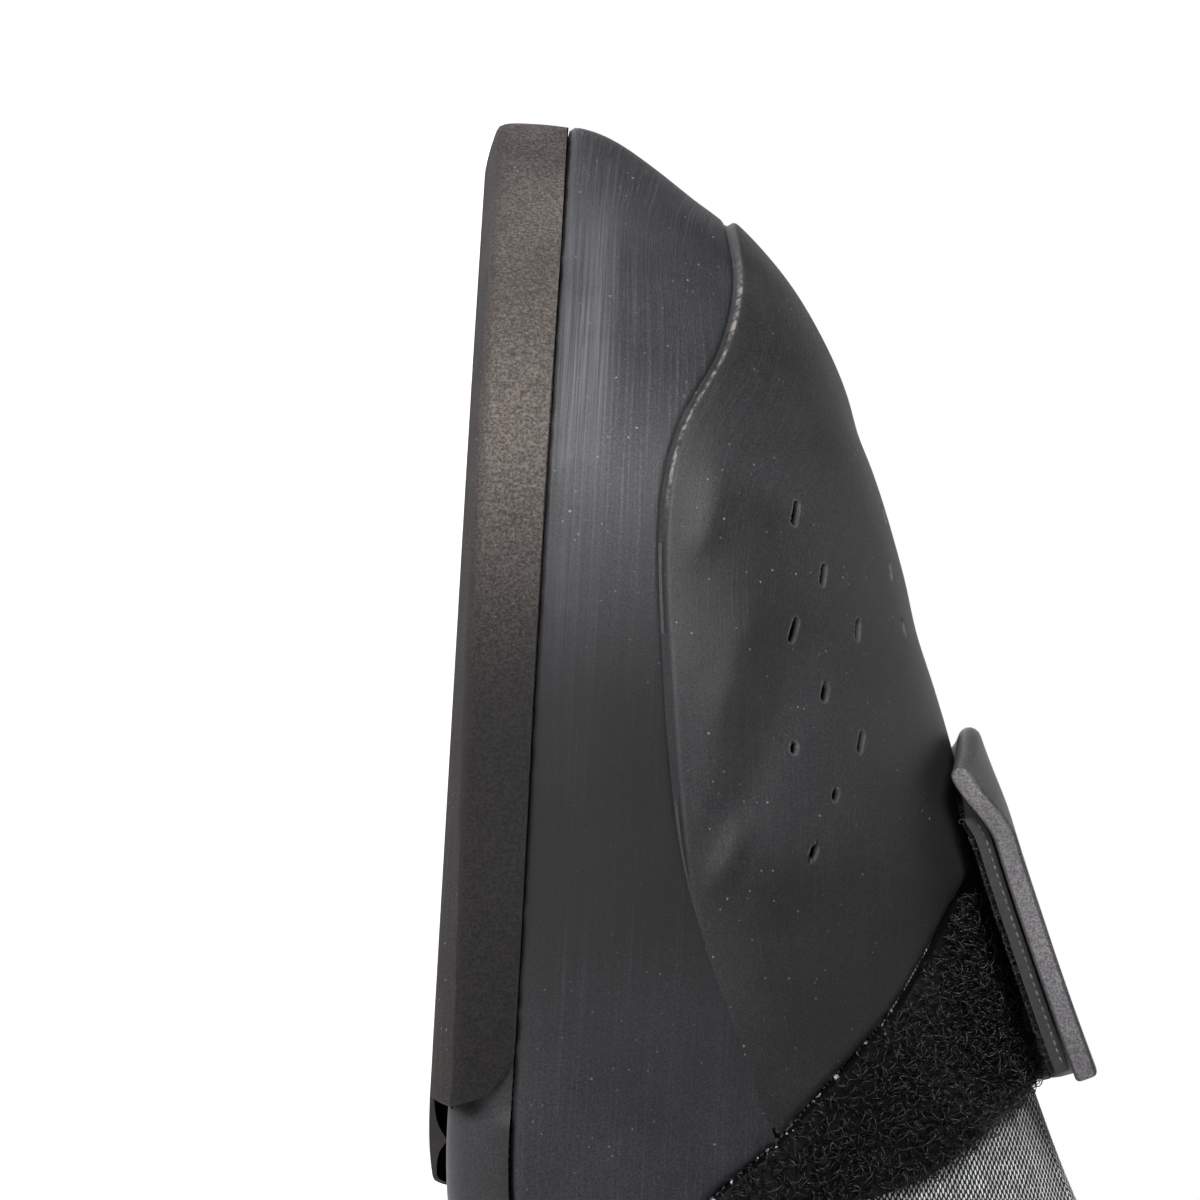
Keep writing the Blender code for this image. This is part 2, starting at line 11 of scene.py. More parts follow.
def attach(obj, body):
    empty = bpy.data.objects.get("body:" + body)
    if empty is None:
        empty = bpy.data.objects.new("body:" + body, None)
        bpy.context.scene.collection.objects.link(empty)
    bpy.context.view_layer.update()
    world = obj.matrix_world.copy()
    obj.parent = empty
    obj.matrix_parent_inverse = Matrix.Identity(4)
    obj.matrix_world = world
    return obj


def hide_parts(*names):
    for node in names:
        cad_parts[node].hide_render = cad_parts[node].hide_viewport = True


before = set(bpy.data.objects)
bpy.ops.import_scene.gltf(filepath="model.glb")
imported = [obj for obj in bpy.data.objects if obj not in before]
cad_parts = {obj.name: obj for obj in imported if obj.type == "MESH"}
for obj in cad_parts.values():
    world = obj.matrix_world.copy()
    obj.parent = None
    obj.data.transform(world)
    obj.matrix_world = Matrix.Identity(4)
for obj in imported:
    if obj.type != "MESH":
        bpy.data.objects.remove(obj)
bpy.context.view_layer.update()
MM = 0.001

# Last
LAST_LENGTH = 245.0
BALL_WIDTH = 83.0
INSTEP_RISE = 72.0
ARCH_RISE = 7.0
FEATHER_RADIUS = 5.6
COLLAR_FRONT = 0.531

# Layers
UPPER_WALL = 1.8
SOLE_THICKNESS = 4.3
ARCH_THICKNESS = 2.0
RAND_THICKNESS = 2.0
PATCH_THICKNESS = 2.9
BAND_THICKNESS = 2.2
HEEL_THICKNESS = 2.2
FIT_GAP = 0.3

# Front sole and heel edges
EDGE_HEIGHT = 1.5
EDGE_BEVEL = 4.5
EDGE_GROWTH = 1.3
EDGE_GROWTH_START = 55.0
EDGE_GROWTH_RUN = 70.0
LATERAL_SOLE_END = 119.0
MEDIAL_SOLE_END = 133.0
BAND_SWELL = 0.2
ARCH_GAP = 1.2
HEEL_FRONT = 177.0
HEEL_EDGE_HEIGHT = 2.0

# Strap with its hook and loop pads
STRAP_THICKNESS = 2.8
STRAP_LIFT = 5.2
STRAP_REACH = 20.0
STRAP_DROOP = 0.6
STRAP_FRONT_LIFT = 4.3
STRAP_CORNER_DROOP = 2.4
STRAP_EASE = 0.26
STRAP_SWEEP = 5.0
SWEEP_START = 0.3
HOOK_THICKNESS = 1.8
HOOK_START = 9.0
HOOK_INSET = 1.5
HOOK_FRONT = 0.17
HOOK_REAR = 0.96
PILE_THICKNESS = 2.3
PILE_ROOM = 0.35
PILE_FRONT = 0.375
PILE_END = 0.534

# Collar binding
BINDING_WIDTH = 5.0
BINDING_HEIGHT = 5.5

# Columns of the last: station as a share of LAST_LENGTH; half widths and axis as shares of
# BALL_WIDTH; ridge height over the feather line as a share of INSTEP_RISE (past the collar it is
# the last's hidden cone); arch as a share of ARCH_RISE; swell of the wall; roundness of the dome.
LAST_COLUMNS = ("station", "lateral", "medial", "axis", "ridge", "arch", "swell", "dome")
LAST_ROWS = (
    (0.000, 0.000, 0.000, 0.120, 0.000, 0.00, 0.02, 2.10),
    (0.012, 0.076, 0.163, 0.119, 0.111, 0.00, 0.02, 2.10),
    (0.031, 0.154, 0.266, 0.114, 0.203, 0.00, 0.03, 2.10),
    (0.049, 0.231, 0.316, 0.108, 0.289, 0.00, 0.03, 2.15),
    (0.082, 0.347, 0.357, 0.093, 0.389, 0.00, 0.04, 2.20),
    (0.127, 0.439, 0.383, 0.071, 0.475, 0.00, 0.05, 2.20),
    (0.171, 0.490, 0.406, 0.051, 0.533, 0.00, 0.06, 2.15),
    (0.233, 0.523, 0.430, 0.034, 0.607, 0.00, 0.06, 2.05),
    (0.290, 0.546, 0.442, 0.023, 0.672, 0.00, 0.06, 1.95),
    (0.347, 0.558, 0.437, 0.014, 0.736, 0.00, 0.05, 1.88),
    (0.400, 0.573, 0.422, 0.010, 0.806, 0.00, 0.04, 1.82),
    (0.461, 0.564, 0.396, 0.006, 0.892, 0.00, 0.04, 1.80),
    (0.531, 0.528, 0.365, 0.004, 1.000, 0.06, 0.03, 1.80),
    (0.612, 0.458, 0.343, -0.006, 1.172, 0.60, 0.02, 2.00),
    (0.714, 0.387, 0.342, -0.017, 1.381, 0.85, 0.04, 2.30),
    (0.816, 0.361, 0.359, -0.024, 1.490, 0.12, 0.07, 2.40),
    (0.898, 0.343, 0.343, -0.024, 1.520, 0.00, 0.08, 2.40),
    (0.959, 0.271, 0.271, -0.024, 1.520, 0.00, 0.08, 2.40),
    (0.988, 0.151, 0.151, -0.024, 1.520, 0.00, 0.08, 2.40),
    (1.000, 0.000, 0.000, -0.024, 1.520, 0.00, 0.08, 2.40),
)

# Collar rim behind its front: height as a share of INSTEP_RISE over the feather line.
RIM_ROWS = (
    (0.531, 1.000),
    (0.570, 0.930),
    (0.612, 0.850),
    (0.714, 0.715),
    (0.816, 0.685),
    (0.898, 0.740),
    (0.959, 0.820),
    (1.000, 0.860),
)

# Heel back curve: height as a share of INSTEP_RISE, how far it stands in front of the heel's
# furthest point as a share of LAST_LENGTH.
HEEL_ROWS = (
    (0.00, 0.012),
    (0.20, 0.000),
    (0.45, 0.004),
    (0.70, 0.020),
    (0.90, 0.030),
    (1.20, 0.032),
)
HEEL_CURVE_START = 0.68

# Lip of the toe patch, from the toe's middle to its tail: height share of INSTEP_RISE.
LIP_ROWS = (
    (0.000, 0.250),
    (0.040, 0.265),
    (0.075, 0.285),
    (0.110, 0.265),
    (0.150, 0.205),
    (0.190, 0.185),
    (0.255, 0.200),
    (0.350, 0.245),
    (0.405, 0.300),
    (0.440, 0.350),
    (0.510, 0.450),
)
LIP_GAP = 0.22
PATCH_TIP = 0.03

# Rear edge of the rubber: from the ridge under the strap down to the heel cup.
RUBBER_ROWS = (
    (0.355, 0.760),
    (0.377, 0.714),
    (0.403, 0.671),
    (0.436, 0.604),
    (0.472, 0.502),
    (0.500, 0.424),
    (0.528, 0.330),
    (0.612, 0.230),
    (0.730, 0.205),
)

# Heel cup's top edge.
CUP_ROWS = (
    (0.715, 0.205),
    (0.800, 0.330),
    (0.900, 0.450),
    (1.000, 0.520),
)

# Border of the loop pile towards the open mesh.
PILE_ROWS = (
    (0.464, 0.896),
    (0.490, 0.800),
    (0.514, 0.690),
    (0.528, 0.560),
    (0.542, 0.420),
)

# The strap's medial run, from its anchored end to the ridge: angle round the section in
# radians, front and rear edges as shares of LAST_LENGTH, lift over the last at each edge.
STRAP_ROWS = (
    (1.15, 0.380, 0.478, PATCH_THICKNESS + 1.1, PATCH_THICKNESS + 1.1),
    (0.90, 0.352, 0.476, PATCH_THICKNESS + 1.1, PATCH_THICKNESS + 0.9),
    (0.60, 0.328, 0.474, PATCH_THICKNESS + 1.5, 1.8),
    (0.35, 0.310, 0.472, PATCH_THICKNESS + 1.5, 2.2),
    (0.12, 0.298, 0.471, PATCH_THICKNESS + 1.5, 4.0),
)
STRAP_FRONT = 0.295
STRAP_REAR = 0.470
LIFT_SPAN = 1.6
LIFT_START = 0.55

EPSILON = 0.004
UNDERSIDE = SOLE_THICKNESS + FIT_GAP
FEATHER = UNDERSIDE + FEATHER_RADIUS

# Fine surfaces: lengths in millimetres, densities in pieces to the square metre
SEEN_TILT = math.radians(16.0)
PATCH_CELL = 0.28
RAND_LEVELS = 44
TAIL_START = 82.0
TAIL_RUN = 16.0
LIP_ROUND = 0.8
EDGE_ROUND = 1.6
EDGE_DROP = 0.9
PILE_EDGE_SHOWN = 0.9
SOLE_CORNER = 7.5
BAND_ROWS = 14
BOTTOM_ROWS = 11
BOTTOM_COLUMNS = 28
OUTSOLE_COLUMNS = 330
END_FACE = 2.2
SLOT_WIDTH = 1.2
SLOT_DEPTH = 1.3
SLOT_WALL = 0.3
KNIT_PITCH = 1.15
KNIT_TURN = 5.0
CLOTH_SPAN = 230.0
LINING_SHIFT = 400.0
HIDDEN_EDGE = 0.35
STRAP_SPAN = 43.0
HOOK_SPAN = 36.0
PILE_DENSITY = 1.9e6
HOOK_DENSITY = 1.6e6

# Slots of the toe patch as the photograph shows them: station, height along the sole's normal,
# length and lean from the shoe's length.
SLOT_LEAN = math.radians(-25.0)
SLOT_ROWS = tuple(
    (station, height, length, SLOT_LEAN)
    for station, height, length in (
        (37.8, 48.2, 3.0),
        (45.2, 47.5, 3.6),
        (44.5, 51.6, 3.0),
        (52.6, 50.8, 3.2),
        (51.3, 54.6, 3.0),
        (59.4, 49.1, 3.4),
        (59.0, 54.2, 3.2),
        (58.0, 57.4, 2.5),
        (66.9, 52.8, 2.6),
        (65.2, 57.8, 3.1),
        (73.9, 50.7, 1.6),
        (72.7, 56.6, 3.2),
        (79.3, 55.1, 1.8),
        (86.4, 53.7, 2.1),
    )
)

# Soft troughs (negative) and ridges of the toe patch: station, height, half length, half width,
# lean and lift.
FOLD_ROWS = (
    (46.6, 37.5, 5.0, 1.5, 0.0, 0.4),
    (87.6, 43.7, 4.4, 1.5, -0.25, 0.45),
    (72.4, 45.9, 13.8, 2.8, -0.15, -0.63),
    (65.1, 41.8, 7.5, 2.0, -0.1, 0.32),
    (32.3, 44.9, 7.5, 3.1, -0.4, -0.45),
    (59.5, 52.7, 13.8, 3.2, -0.3, -0.36),
    (75.6, 34.8, 11.2, 2.8, -0.05, 0.36),
)

# Camera and light
CAMERA_PLACE = (-1.30, 0.0645, 0.006)
CAMERA_AIM = (0.0, 0.0645, 0.0175)
CAMERA_LENS = 312.0
CAMERA_ROLL = 3.3
WORLD_SHADE = 0.05
WORLD_SIDE = 0.13
FLOOR_REACH = 1.6
FLOOR_GLOW = 1.0
SIDE_RAMP = (-0.7, 0.3)
CONE_RAMP = (0.84, 0.98)

# Lamps: name, place, aim, size, power in watts and spread in degrees
LAMPS = (
    ("key", (-0.38, 0.37, 0.13), (0.0, 0.135, 0.03), (0.22, 0.18), 0.42, 54.0),
    ("side", (-0.80, -0.60, 0.55), (0.0, -0.02, 0.05), (0.5, 0.5), 1.2, 180.0),
    ("rim", (0.5, 0.1, 0.9), (0.0, 0.05, 0.05), (0.8, 0.8), 1.3, 180.0),
)


# The last, as arrays
def smooth(value):
    value = np.clip(value, 0.0, 1.0)
    return value * value * (3.0 - 2.0 * value)


def mix(a, b, share):
    return a + (b - a) * share


def curve(rows, column, at, warp=None):
    """Smooth value of a table's column; the first column is the place, and warp respaces it."""
    keys = np.array([row[0] for row in rows], float)
    values = np.array([row[column] for row in rows], float)
    at = np.asarray(at, float)
    if warp:
        keys, at = warp(keys), warp(at)
    at = np.clip(at, keys[0], keys[-1])
    last = len(keys) - 1
    before = np.maximum(np.arange(last + 1) - 1, 0)
    after = np.minimum(np.arange(last + 1) + 1, last)
    slopes = (values[after] - values[before]) / (keys[after] - keys[before])
    index = np.clip(np.searchsorted(keys, at, side="left") - 1, 0, last - 1)
    span = keys[index + 1] - keys[index]
    share = (at - keys[index]) / span
    cube, square = share**3, share**2
    return (
        (2 * cube - 3 * square + 1) * values[index]
        + (cube - 2 * square + share) * slopes[index] * span
        + (3 * square - 2 * cube) * values[index + 1]
        + (cube - square) * slopes[index + 1] * span
    )


def arc_place(share):
    return np.arccos(np.clip(1.0 - 2.0 * share, -1.0, 1.0))


def last_value(name, station):
    return curve(LAST_ROWS, LAST_COLUMNS.index(name), np.asarray(station) / LAST_LENGTH, arc_place)


def arch_height(station):
    return ARCH_RISE * np.maximum(0.0, last_value("arch", station))


def feather_height(station):
    return FEATHER + arch_height(station)


def ridge_height(station):
    return FEATHER + INSTEP_RISE * np.maximum(0.0, last_value("ridge", station))


def table_height(rows, station):
    return FEATHER + INSTEP_RISE * curve(rows, 1, np.asarray(station) / LAST_LENGTH)


def rim_height(station):
    front = COLLAR_FRONT * LAST_LENGTH
    step = ridge_height(front) - table_height(RIM_ROWS, front)
    return np.where(station <= front, ridge_height(front), table_height(RIM_ROWS, station) + step)


def heel_setback(station, height):
    start = HEEL_CURVE_START * LAST_LENGTH
    back = curve(HEEL_ROWS, 1, (height - UNDERSIDE) / INSTEP_RISE) * LAST_LENGTH
    return back * smooth((station - start) / (LAST_LENGTH - start))


def section_point(station, side, rise):
    width = np.where(side < 0, last_value("lateral", station), last_value("medial", station))
    width = np.maximum(0.0, width) * BALL_WIDTH
    dome = last_value("dome", station)
    rise = np.clip(rise, 0.0, 1.0)
    shape = np.maximum(0.0, 1.0 - rise**dome) ** (1.0 / dome)
    shape = shape * (1.0 + 4.0 * last_value("swell", station) * rise * (1.0 - rise))
    height = mix(feather_height(station), ridge_height(station), rise)
    across = last_value("axis", station) * BALL_WIDTH + side * width * shape
    return np.stack([across, heel_setback(station, height) - station, height], axis=-1)


def level_height(station, level):
    return mix(feather_height(station), rim_height(station), level)


def find_front(level):
    low = np.zeros_like(level)
    high = np.full_like(level, COLLAR_FRONT * LAST_LENGTH)
    for _ in range(40):
        middle = 0.5 * (low + high)
        below = ridge_height(middle) < level_height(middle, level)
        low, high = np.where(below, middle, low), np.where(below, high, middle)
    return 0.5 * (low + high)


FRONT_LEVELS = np.linspace(0.0, 1.02, 4081)
FRONT_STATIONS = find_front(FRONT_LEVELS)


def column_station(around, level):
    front = np.interp(np.maximum(level, 0.0), FRONT_LEVELS, FRONT_STATIONS)
    return mix(front, LAST_LENGTH, 0.5 - 0.5 * np.cos(math.pi * np.abs(around)))


def wall_point(around, level):
    around = np.where(around > 1.0, around - 2.0, around)
    around = np.where(around < -1.0, around + 2.0, around)
    station = column_station(around, level)
    low, high = feather_height(station), ridge_height(station)
    room = high - low
    rise = np.where(room < 1e-6, 1.0, (level_height(station, level) - low) / np.maximum(room, 1e-6))
    return section_point(station, np.where(around < 0, -1.0, 1.0), rise)


def unit(vectors):
    size = np.linalg.norm(vectors, axis=-1, keepdims=True)
    return vectors / np.maximum(size, 1e-12)


def wall_normal(around, level):
    across = wall_point(around + EPSILON, level) - wall_point(around - EPSILON, level)
    low = np.maximum(level - EPSILON, 0.0)
    upward = wall_point(around, level + EPSILON) - wall_point(around, low)
    return unit(np.cross(upward, across))


def plan_normal(around):
    level = np.zeros_like(around)
    step = wall_point(around + EPSILON, level) - wall_point(around - EPSILON, level)
    return unit(np.stack([-step[..., 1], step[..., 0], np.zeros_like(around)], axis=-1))


def form(around, level, offset=0.0):
    """Places and outward directions on the last; level below 0 turns under the edge."""
    around, level = np.broadcast_arrays(np.asarray(around, float), np.asarray(level, float))
    offset = np.asarray(offset, float)
    over = np.maximum(level, 0.0)
    points, normals = wall_point(around, over), wall_normal(around, over)
    outward = plan_normal(around)
    base = wall_point(around, np.zeros_like(around))
    turn = np.maximum(-level, 0.0) * math.pi / 2.0
    station = column_station(around, np.zeros_like(around))
    room = np.minimum(station, LAST_LENGTH + base[..., 1]) / (2.5 * FEATHER_RADIUS)
    inset = FEATHER_RADIUS * (1.0 - np.cos(turn)) * mix(0.35, 1.0, smooth(room))
    under = base - outward * inset[..., None]
    under[..., 2] -= FEATHER_RADIUS * np.sin(turn)
    facing = outward * np.cos(turn)[..., None]
    facing[..., 2] -= np.sin(turn)
    below = (level < 0.0)[..., None]
    points = np.where(below, under, points)
    normals = np.where(below, facing, normals)
    return points + normals * offset[..., None], normals


def section_angle(station, angle, offset=0.0):
    """The last at a station by angle from its ridge, negative to the lateral side."""

    def at(place, turned):
        rise = np.maximum(0.0, np.cos(turned)) ** (2.0 / last_value("dome", place))
        return section_point(place, np.where(turned < 0, -1.0, 1.0), rise)

    station, angle = np.broadcast_arrays(np.asarray(station, float), np.asarray(angle, float))
    backward = at(station + 0.5, angle) - at(station - 0.5, angle)
    downward = at(station, angle + 0.02) - at(station, angle - 0.02)
    normals = unit(np.cross(backward, downward))
    return at(station, angle) + normals * np.asarray(offset, float)[..., None], normals


def level_at(around, rows):
    around = np.asarray(around, float)
    low, high = np.zeros_like(around), np.ones_like(around)
    for _ in range(30):
        middle = 0.5 * (low + high)
        station = column_station(around, middle)
        below = level_height(station, middle) < table_height(rows, station)
        low, high = np.where(below, middle, low), np.where(below, high, middle)
    return 0.5 * (low + high)


def around_at(station, level=0.0):
    front = float(np.interp(level, FRONT_LEVELS, FRONT_STATIONS))
    share = (station - front) / (LAST_LENGTH - front)
    return math.acos(min(1.0, max(-1.0, 1.0 - 2.0 * share))) / math.pi


def gap_level(around, level, distance):
    """Level moved up or down the wall by a distance."""
    here, there = form(around, level)[0], form(around, level + 0.01)[0]
    return level + 0.01 * distance / np.linalg.norm(there - here, axis=-1)


def plan_middle():
    """Shift that puts the middle of the whole shoe's plan on the origin."""
    reach = FIT_GAP + RAND_THICKNESS + 0.2
    places = np.linspace(-1.0, 1.0, 161)
    points = form(places, np.zeros(161), reach)[0]
    return -0.5 * (points.min(axis=0) + points.max(axis=0))


SHIFT = plan_middle()
SHIFT[2] = 0.0


# Mesh making
def add_object(name, data):
    made = bpy.data.objects.new(name, data)
    bpy.context.scene.collection.objects.link(made)
    return made


def put(name, vertices, faces, materials, uses, uv=None, values=None, slots=None, sharp=40.0):
    """Makes one finished piece from points in millimetres of the last's frame."""
    data = bpy.data.meshes.new(name)
    points = (np.asarray(vertices, float) + SHIFT) * MM
    data.from_pydata(points.tolist(), [], faces)
    for finish in materials:
        data.materials.append(finish)
    if slots is not None:
        data.polygons.foreach_set("material_index", np.asarray(slots, np.int32))
    if uv is not None:
        loops = np.zeros(len(data.loops), np.int32)
        data.loops.foreach_get("vertex_index", loops)
        layer = data.uv_layers.new(name="cloth")
        layer.uv.foreach_set("vector", np.asarray(uv, float)[loops].astype(np.float32).ravel())
    for key, column in (values or {}).items():
        layer = data.attributes.new(key, "FLOAT", "POINT")
        layer.data.foreach_set("value", np.asarray(column, np.float32).ravel())
    mesh = bmesh.new()
    mesh.from_mesh(data)
    bmesh.ops.recalc_face_normals(mesh, faces=mesh.faces)
    mesh.to_mesh(data)
    mesh.free()
    data.shade_smooth()
    data.set_sharp_from_angle(angle=math.radians(sharp))
    piece = add_object(name, data)
    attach(piece, "root")
    if uses:
        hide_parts(*uses)
    return piece


def grid_faces(rows, columns, start=0, round_rows=False, round_columns=False):
    """Quads of a grid numbered row by row."""
    row = np.arange(rows if round_rows else rows - 1)
    column = np.arange(columns if round_columns else columns - 1)
    r, c = np.meshgrid(row, column, indexing="ij")
    r2, c2 = (r + 1) % rows, (c + 1) % columns
    quads = np.stack([r * columns + c, r * columns + c2, r2 * columns + c2, r2 * columns + c], -1)
    return (quads.reshape(-1, 4) + start).tolist()


def put_grid(name, grid, materials, uses, rounds=(False, False), caps=False, **settings):
    """Makes a piece from a grid of points; caps close both ends of a tube."""
    rows, count = grid.shape[:2]
    faces = grid_faces(rows, count, 0, *rounds)
    if caps:
        faces += [list(range(count))[::-1], list(range((rows - 1) * count, rows * count))]
    return put(name, grid.reshape(-1, 3), faces, materials, uses, **settings)


def arc_length(points):
    """Distance from a grid's first column along each row."""
    steps = np.linalg.norm(np.diff(points, axis=1), axis=-1)
    return np.concatenate([np.zeros((len(points), 1)), np.cumsum(steps, axis=1)], axis=1)


def edged(field):
    """A grid's field with its first and last columns doubled, for the hidden rows."""
    return np.concatenate([field[:, :1], field, field[:, -1:]], axis=1)


def waves(points, size, seed, octaves=3):
    """Smooth uneven values from -1 to 1 over points, with features of about that size."""
    made = np.random.default_rng(seed)
    total = np.zeros(points.shape[:-1])
    for octave in range(octaves):
        for _ in range(5):
            direction = unit(made.normal(size=3)) * (2.0 * math.pi / (size / 2**octave))
            phase = made.uniform(0.0, 2.0 * math.pi)
            total += np.sin(points @ direction * made.uniform(0.7, 1.3) + phase) / 2**octave
    return total / 5.0


# Finishes
class Net:
    """Short hand for the nodes of one tree."""

    def __init__(self, tree):
        self.tree = tree

    def feed(self, entry, value):
        if isinstance(value, bpy.types.NodeSocket):
            self.tree.links.new(value, entry)
        else:
            entry.default_value = value

    def node(self, kind, inputs=None, **settings):
        made = self.tree.nodes.new(kind)
        for key, value in settings.items():
            setattr(made, key, value)
        for key, value in (inputs or {}).items():
            self.feed(made.inputs[key], value)
        return made

    def math(self, operation, a, b=0.0):
        return self.node("ShaderNodeMath", {0: a, 1: b}, operation=operation).outputs[0]

    def add(self, a, b):
        return self.math("ADD", a, b)

    def less(self, a, b):
        return self.math("SUBTRACT", a, b)

    def times(self, made, *others):
        for other in others:
            made = self.math("MULTIPLY", made, other)
        return made

    def ramp(self, value, low, high, to_low=0.0, to_high=1.0):
        inputs = {"Value": value, "From Min": low, "From Max": high, "To Min": to_low, "To Max": to_high}
        return self.node("ShaderNodeMapRange", inputs, interpolation_type="SMOOTHSTEP").outputs["Result"]

    def window(self, value, start, end, soft):
        """1 between start and end, falling off over soft."""
        rise = self.ramp(value, start - soft, start + soft)
        return self.times(rise, self.ramp(value, end + soft, end - soft))

    def noise(self, vector, scale, detail=3.0, roughness=0.55):
        inputs = {"Vector": vector, "Scale": scale, "Detail": detail, "Roughness": roughness}
        return self.node("ShaderNodeTexNoise", inputs).outputs["Fac"]

    def place(self):
        return self.node("ShaderNodeTexCoord").outputs["Object"]

    def split(self, vector):
        return self.node("ShaderNodeSeparateXYZ", {0: vector}).outputs

    def cloth_place(self):
        return self.node("ShaderNodeUVMap", uv_map="cloth").outputs["UV"]

    def stretched(self, vector, scale, turn=(0.0, 0.0, 0.0)):
        inputs = {"Vector": vector, "Scale": scale, "Rotation": turn}
        return self.node("ShaderNodeMapping", inputs).outputs["Vector"]

    def blend(self, share, a, b, mode="MIX"):
        inputs = {0: share, 6: a, 7: b}
        return self.node("ShaderNodeMix", inputs, data_type="RGBA", blend_type=mode).outputs[2]

    def attribute(self, name):
        return self.node("ShaderNodeAttribute", attribute_name=name).outputs["Fac"]

    def effect(self, group, **values):
        made = self.node("ShaderNodeGroup", node_tree=group)
        for key, value in values.items():
            made.inputs[key].default_value = value
        return made.outputs["Mask"]


def effect_group(name, build, **inputs):
    """A shared effect that gives one mask."""
    group = bpy.data.node_groups.new(name, "ShaderNodeTree")
    for key, value in inputs.items():
        entry = group.interface.new_socket(name=key, in_out="INPUT", socket_type="NodeSocketFloat")
        entry.default_value = value
    group.interface.new_socket(name="Mask", in_out="OUTPUT", socket_type="NodeSocketFloat")
    net = Net(group)
    entry, end = net.node("NodeGroupInput"), net.node("NodeGroupOutput")
    group.links.new(build(net, entry.outputs), end.inputs["Mask"])
    return group


def dust_build(net, entry):
    """Pale specks of dust: few, small, uneven in size and brightness."""
    place = net.place()
    inputs = {"Vector": place, "Scale": entry["Scale"], "Randomness": 1.0}
    cells = net.node("ShaderNodeTexVoronoi", inputs, feature="F1").outputs
    pick = net.math("GREATER_THAN", cells["Color"], net.less(1.0, entry["Share"]))
    size = net.times(net.noise(place, 900.0, 1.0), 0.16)
    dot = net.ramp(net.add(cells["Distance"], size), 0.24, 0.14)
    return net.times(pick, dot, net.ramp(net.noise(place, 210.0, 3.0), 0.35, 0.70, 0.15, 1.0))


def scratch_build(net, entry):
    """Fine straight scratches in three leanings, gathered in patches."""
    place = net.place()
    total = None
    for turn, seed in ((0.5, 0.0), (-0.9, 3.1), (1.3, 7.7)):
        lines = net.stretched(place, (1500.0, 60.0, 1500.0), (turn, 0.4 * turn, turn + seed))
        mask = net.ramp(net.noise(lines, 1.0, 2.0), 0.70, 0.78)
        total = mask if total is None else net.math("MAXIMUM", total, mask)
    return net.times(total, net.ramp(net.noise(place, 38.0, 2.0), 0.48, 0.62))


DUST = effect_group("dust_specks", dust_build, Scale=850.0, Share=0.12)
SCRATCH = effect_group("fine_scratches", scratch_build)


def grey(level, warm=0.0, rose=0.035):
    """Neutral colour, a little warm or cool and a little rosy."""
    return (level * (1.0 + warm), level * (1.0 - rose), level * (1.0 - warm), 1.0)


class Finish(Net):
    """A material whose colour, roughness and bumps gather until they are wired."""

    def __init__(self, name):
        self.made = bpy.data.materials.new(name)
        self.made.use_nodes = True
        super().__init__(self.made.node_tree)
        self.shader = self.tree.nodes["Principled BSDF"].inputs
        self.at = self.place()

    def tint(self, share, amount, colour):
        self.colour = self.blend(self.times(share, amount), self.colour, colour)

    def grain(self, speckle):
        self.colour = self.blend(1.0, self.colour, speckle, "MULTIPLY")

    def wire(self, specular=0.5):
        """Joins all to the shader; each bump is (height, strength, distance in mm)."""
        self.feed(self.shader["Base Color"], self.colour)
        self.feed(self.shader["Roughness"], self.roughness)
        self.feed(self.shader["Specular IOR Level"], specular)
        normal = None
        for height, strength, distance in self.bumps:
            bump = {"Height": height, "Strength": strength, "Distance": distance * MM}
            if normal:
                bump["Normal"] = normal
            normal = self.node("ShaderNodeBump", bump).outputs["Normal"]
        self.feed(self.shader["Normal"], normal)
        return self.made


def rubber(
    name, tone, warm, rough, striation=0.0, dust=0.10, grain=0.25, scratches=0.25,
    spread=0.3, lined=False,
):
    """Rubber with soft patches, striations, grain, fine scratches and dust, not yet wired."""
    skin = Finish(name)
    patches = skin.noise(skin.at, 45.0, 4.0)
    pale, deep = grey(tone * (1.0 + spread), warm), grey(tone * (1.0 - spread), warm)
    skin.colour = skin.blend(skin.ramp(patches, 0.3, 0.7), deep, pale)
    along = skin.cloth_place() if lined else skin.at
    scale = (0.035, 2.6, 1.0) if lined else (900.0, 16.0, 900.0)
    skin.lines = skin.noise(skin.stretched(along, scale), 1.0, 4.0, 0.65)
    fade = skin.ramp(skin.noise(skin.at, 30.0, 2.0), 0.35, 0.65, 0.25, 1.0)
    shown = skin.times(skin.ramp(skin.lines, 0.48, 0.72), skin.times(fade, striation))
    skin.colour = skin.blend(shown, skin.colour, grey(tone * 2.6, warm))
    scratch = skin.effect(SCRATCH)
    skin.tint(scratch, scratches, grey(tone * 3.0 + 0.01))
    specks = skin.effect(DUST, Share=dust)
    skin.tint(specks, 0.6, grey(0.30, 0.03))
    fine = skin.noise(skin.at, 3600.0, 4.0, 0.75)
    skin.grain(skin.ramp(fine, 0.36, 0.64, 0.50, 1.60))
    uneven = skin.add(rough, skin.times(skin.less(patches, 0.5), 0.25))
    skin.roughness = skin.add(uneven, skin.times(specks, 0.3))
    skin.bumps = [
        (fine, grain, 0.10),
        (skin.lines, min(1.0, striation * 1.2), 0.09),
        (scratch, 0.3 * scratches, -0.04),
        (skin.noise(skin.at, 160.0, 2.0), 0.25, 0.10),
    ]
    return skin


def plain_rubber(*values, **settings):
    return rubber(*values, **settings).wire(0.35)


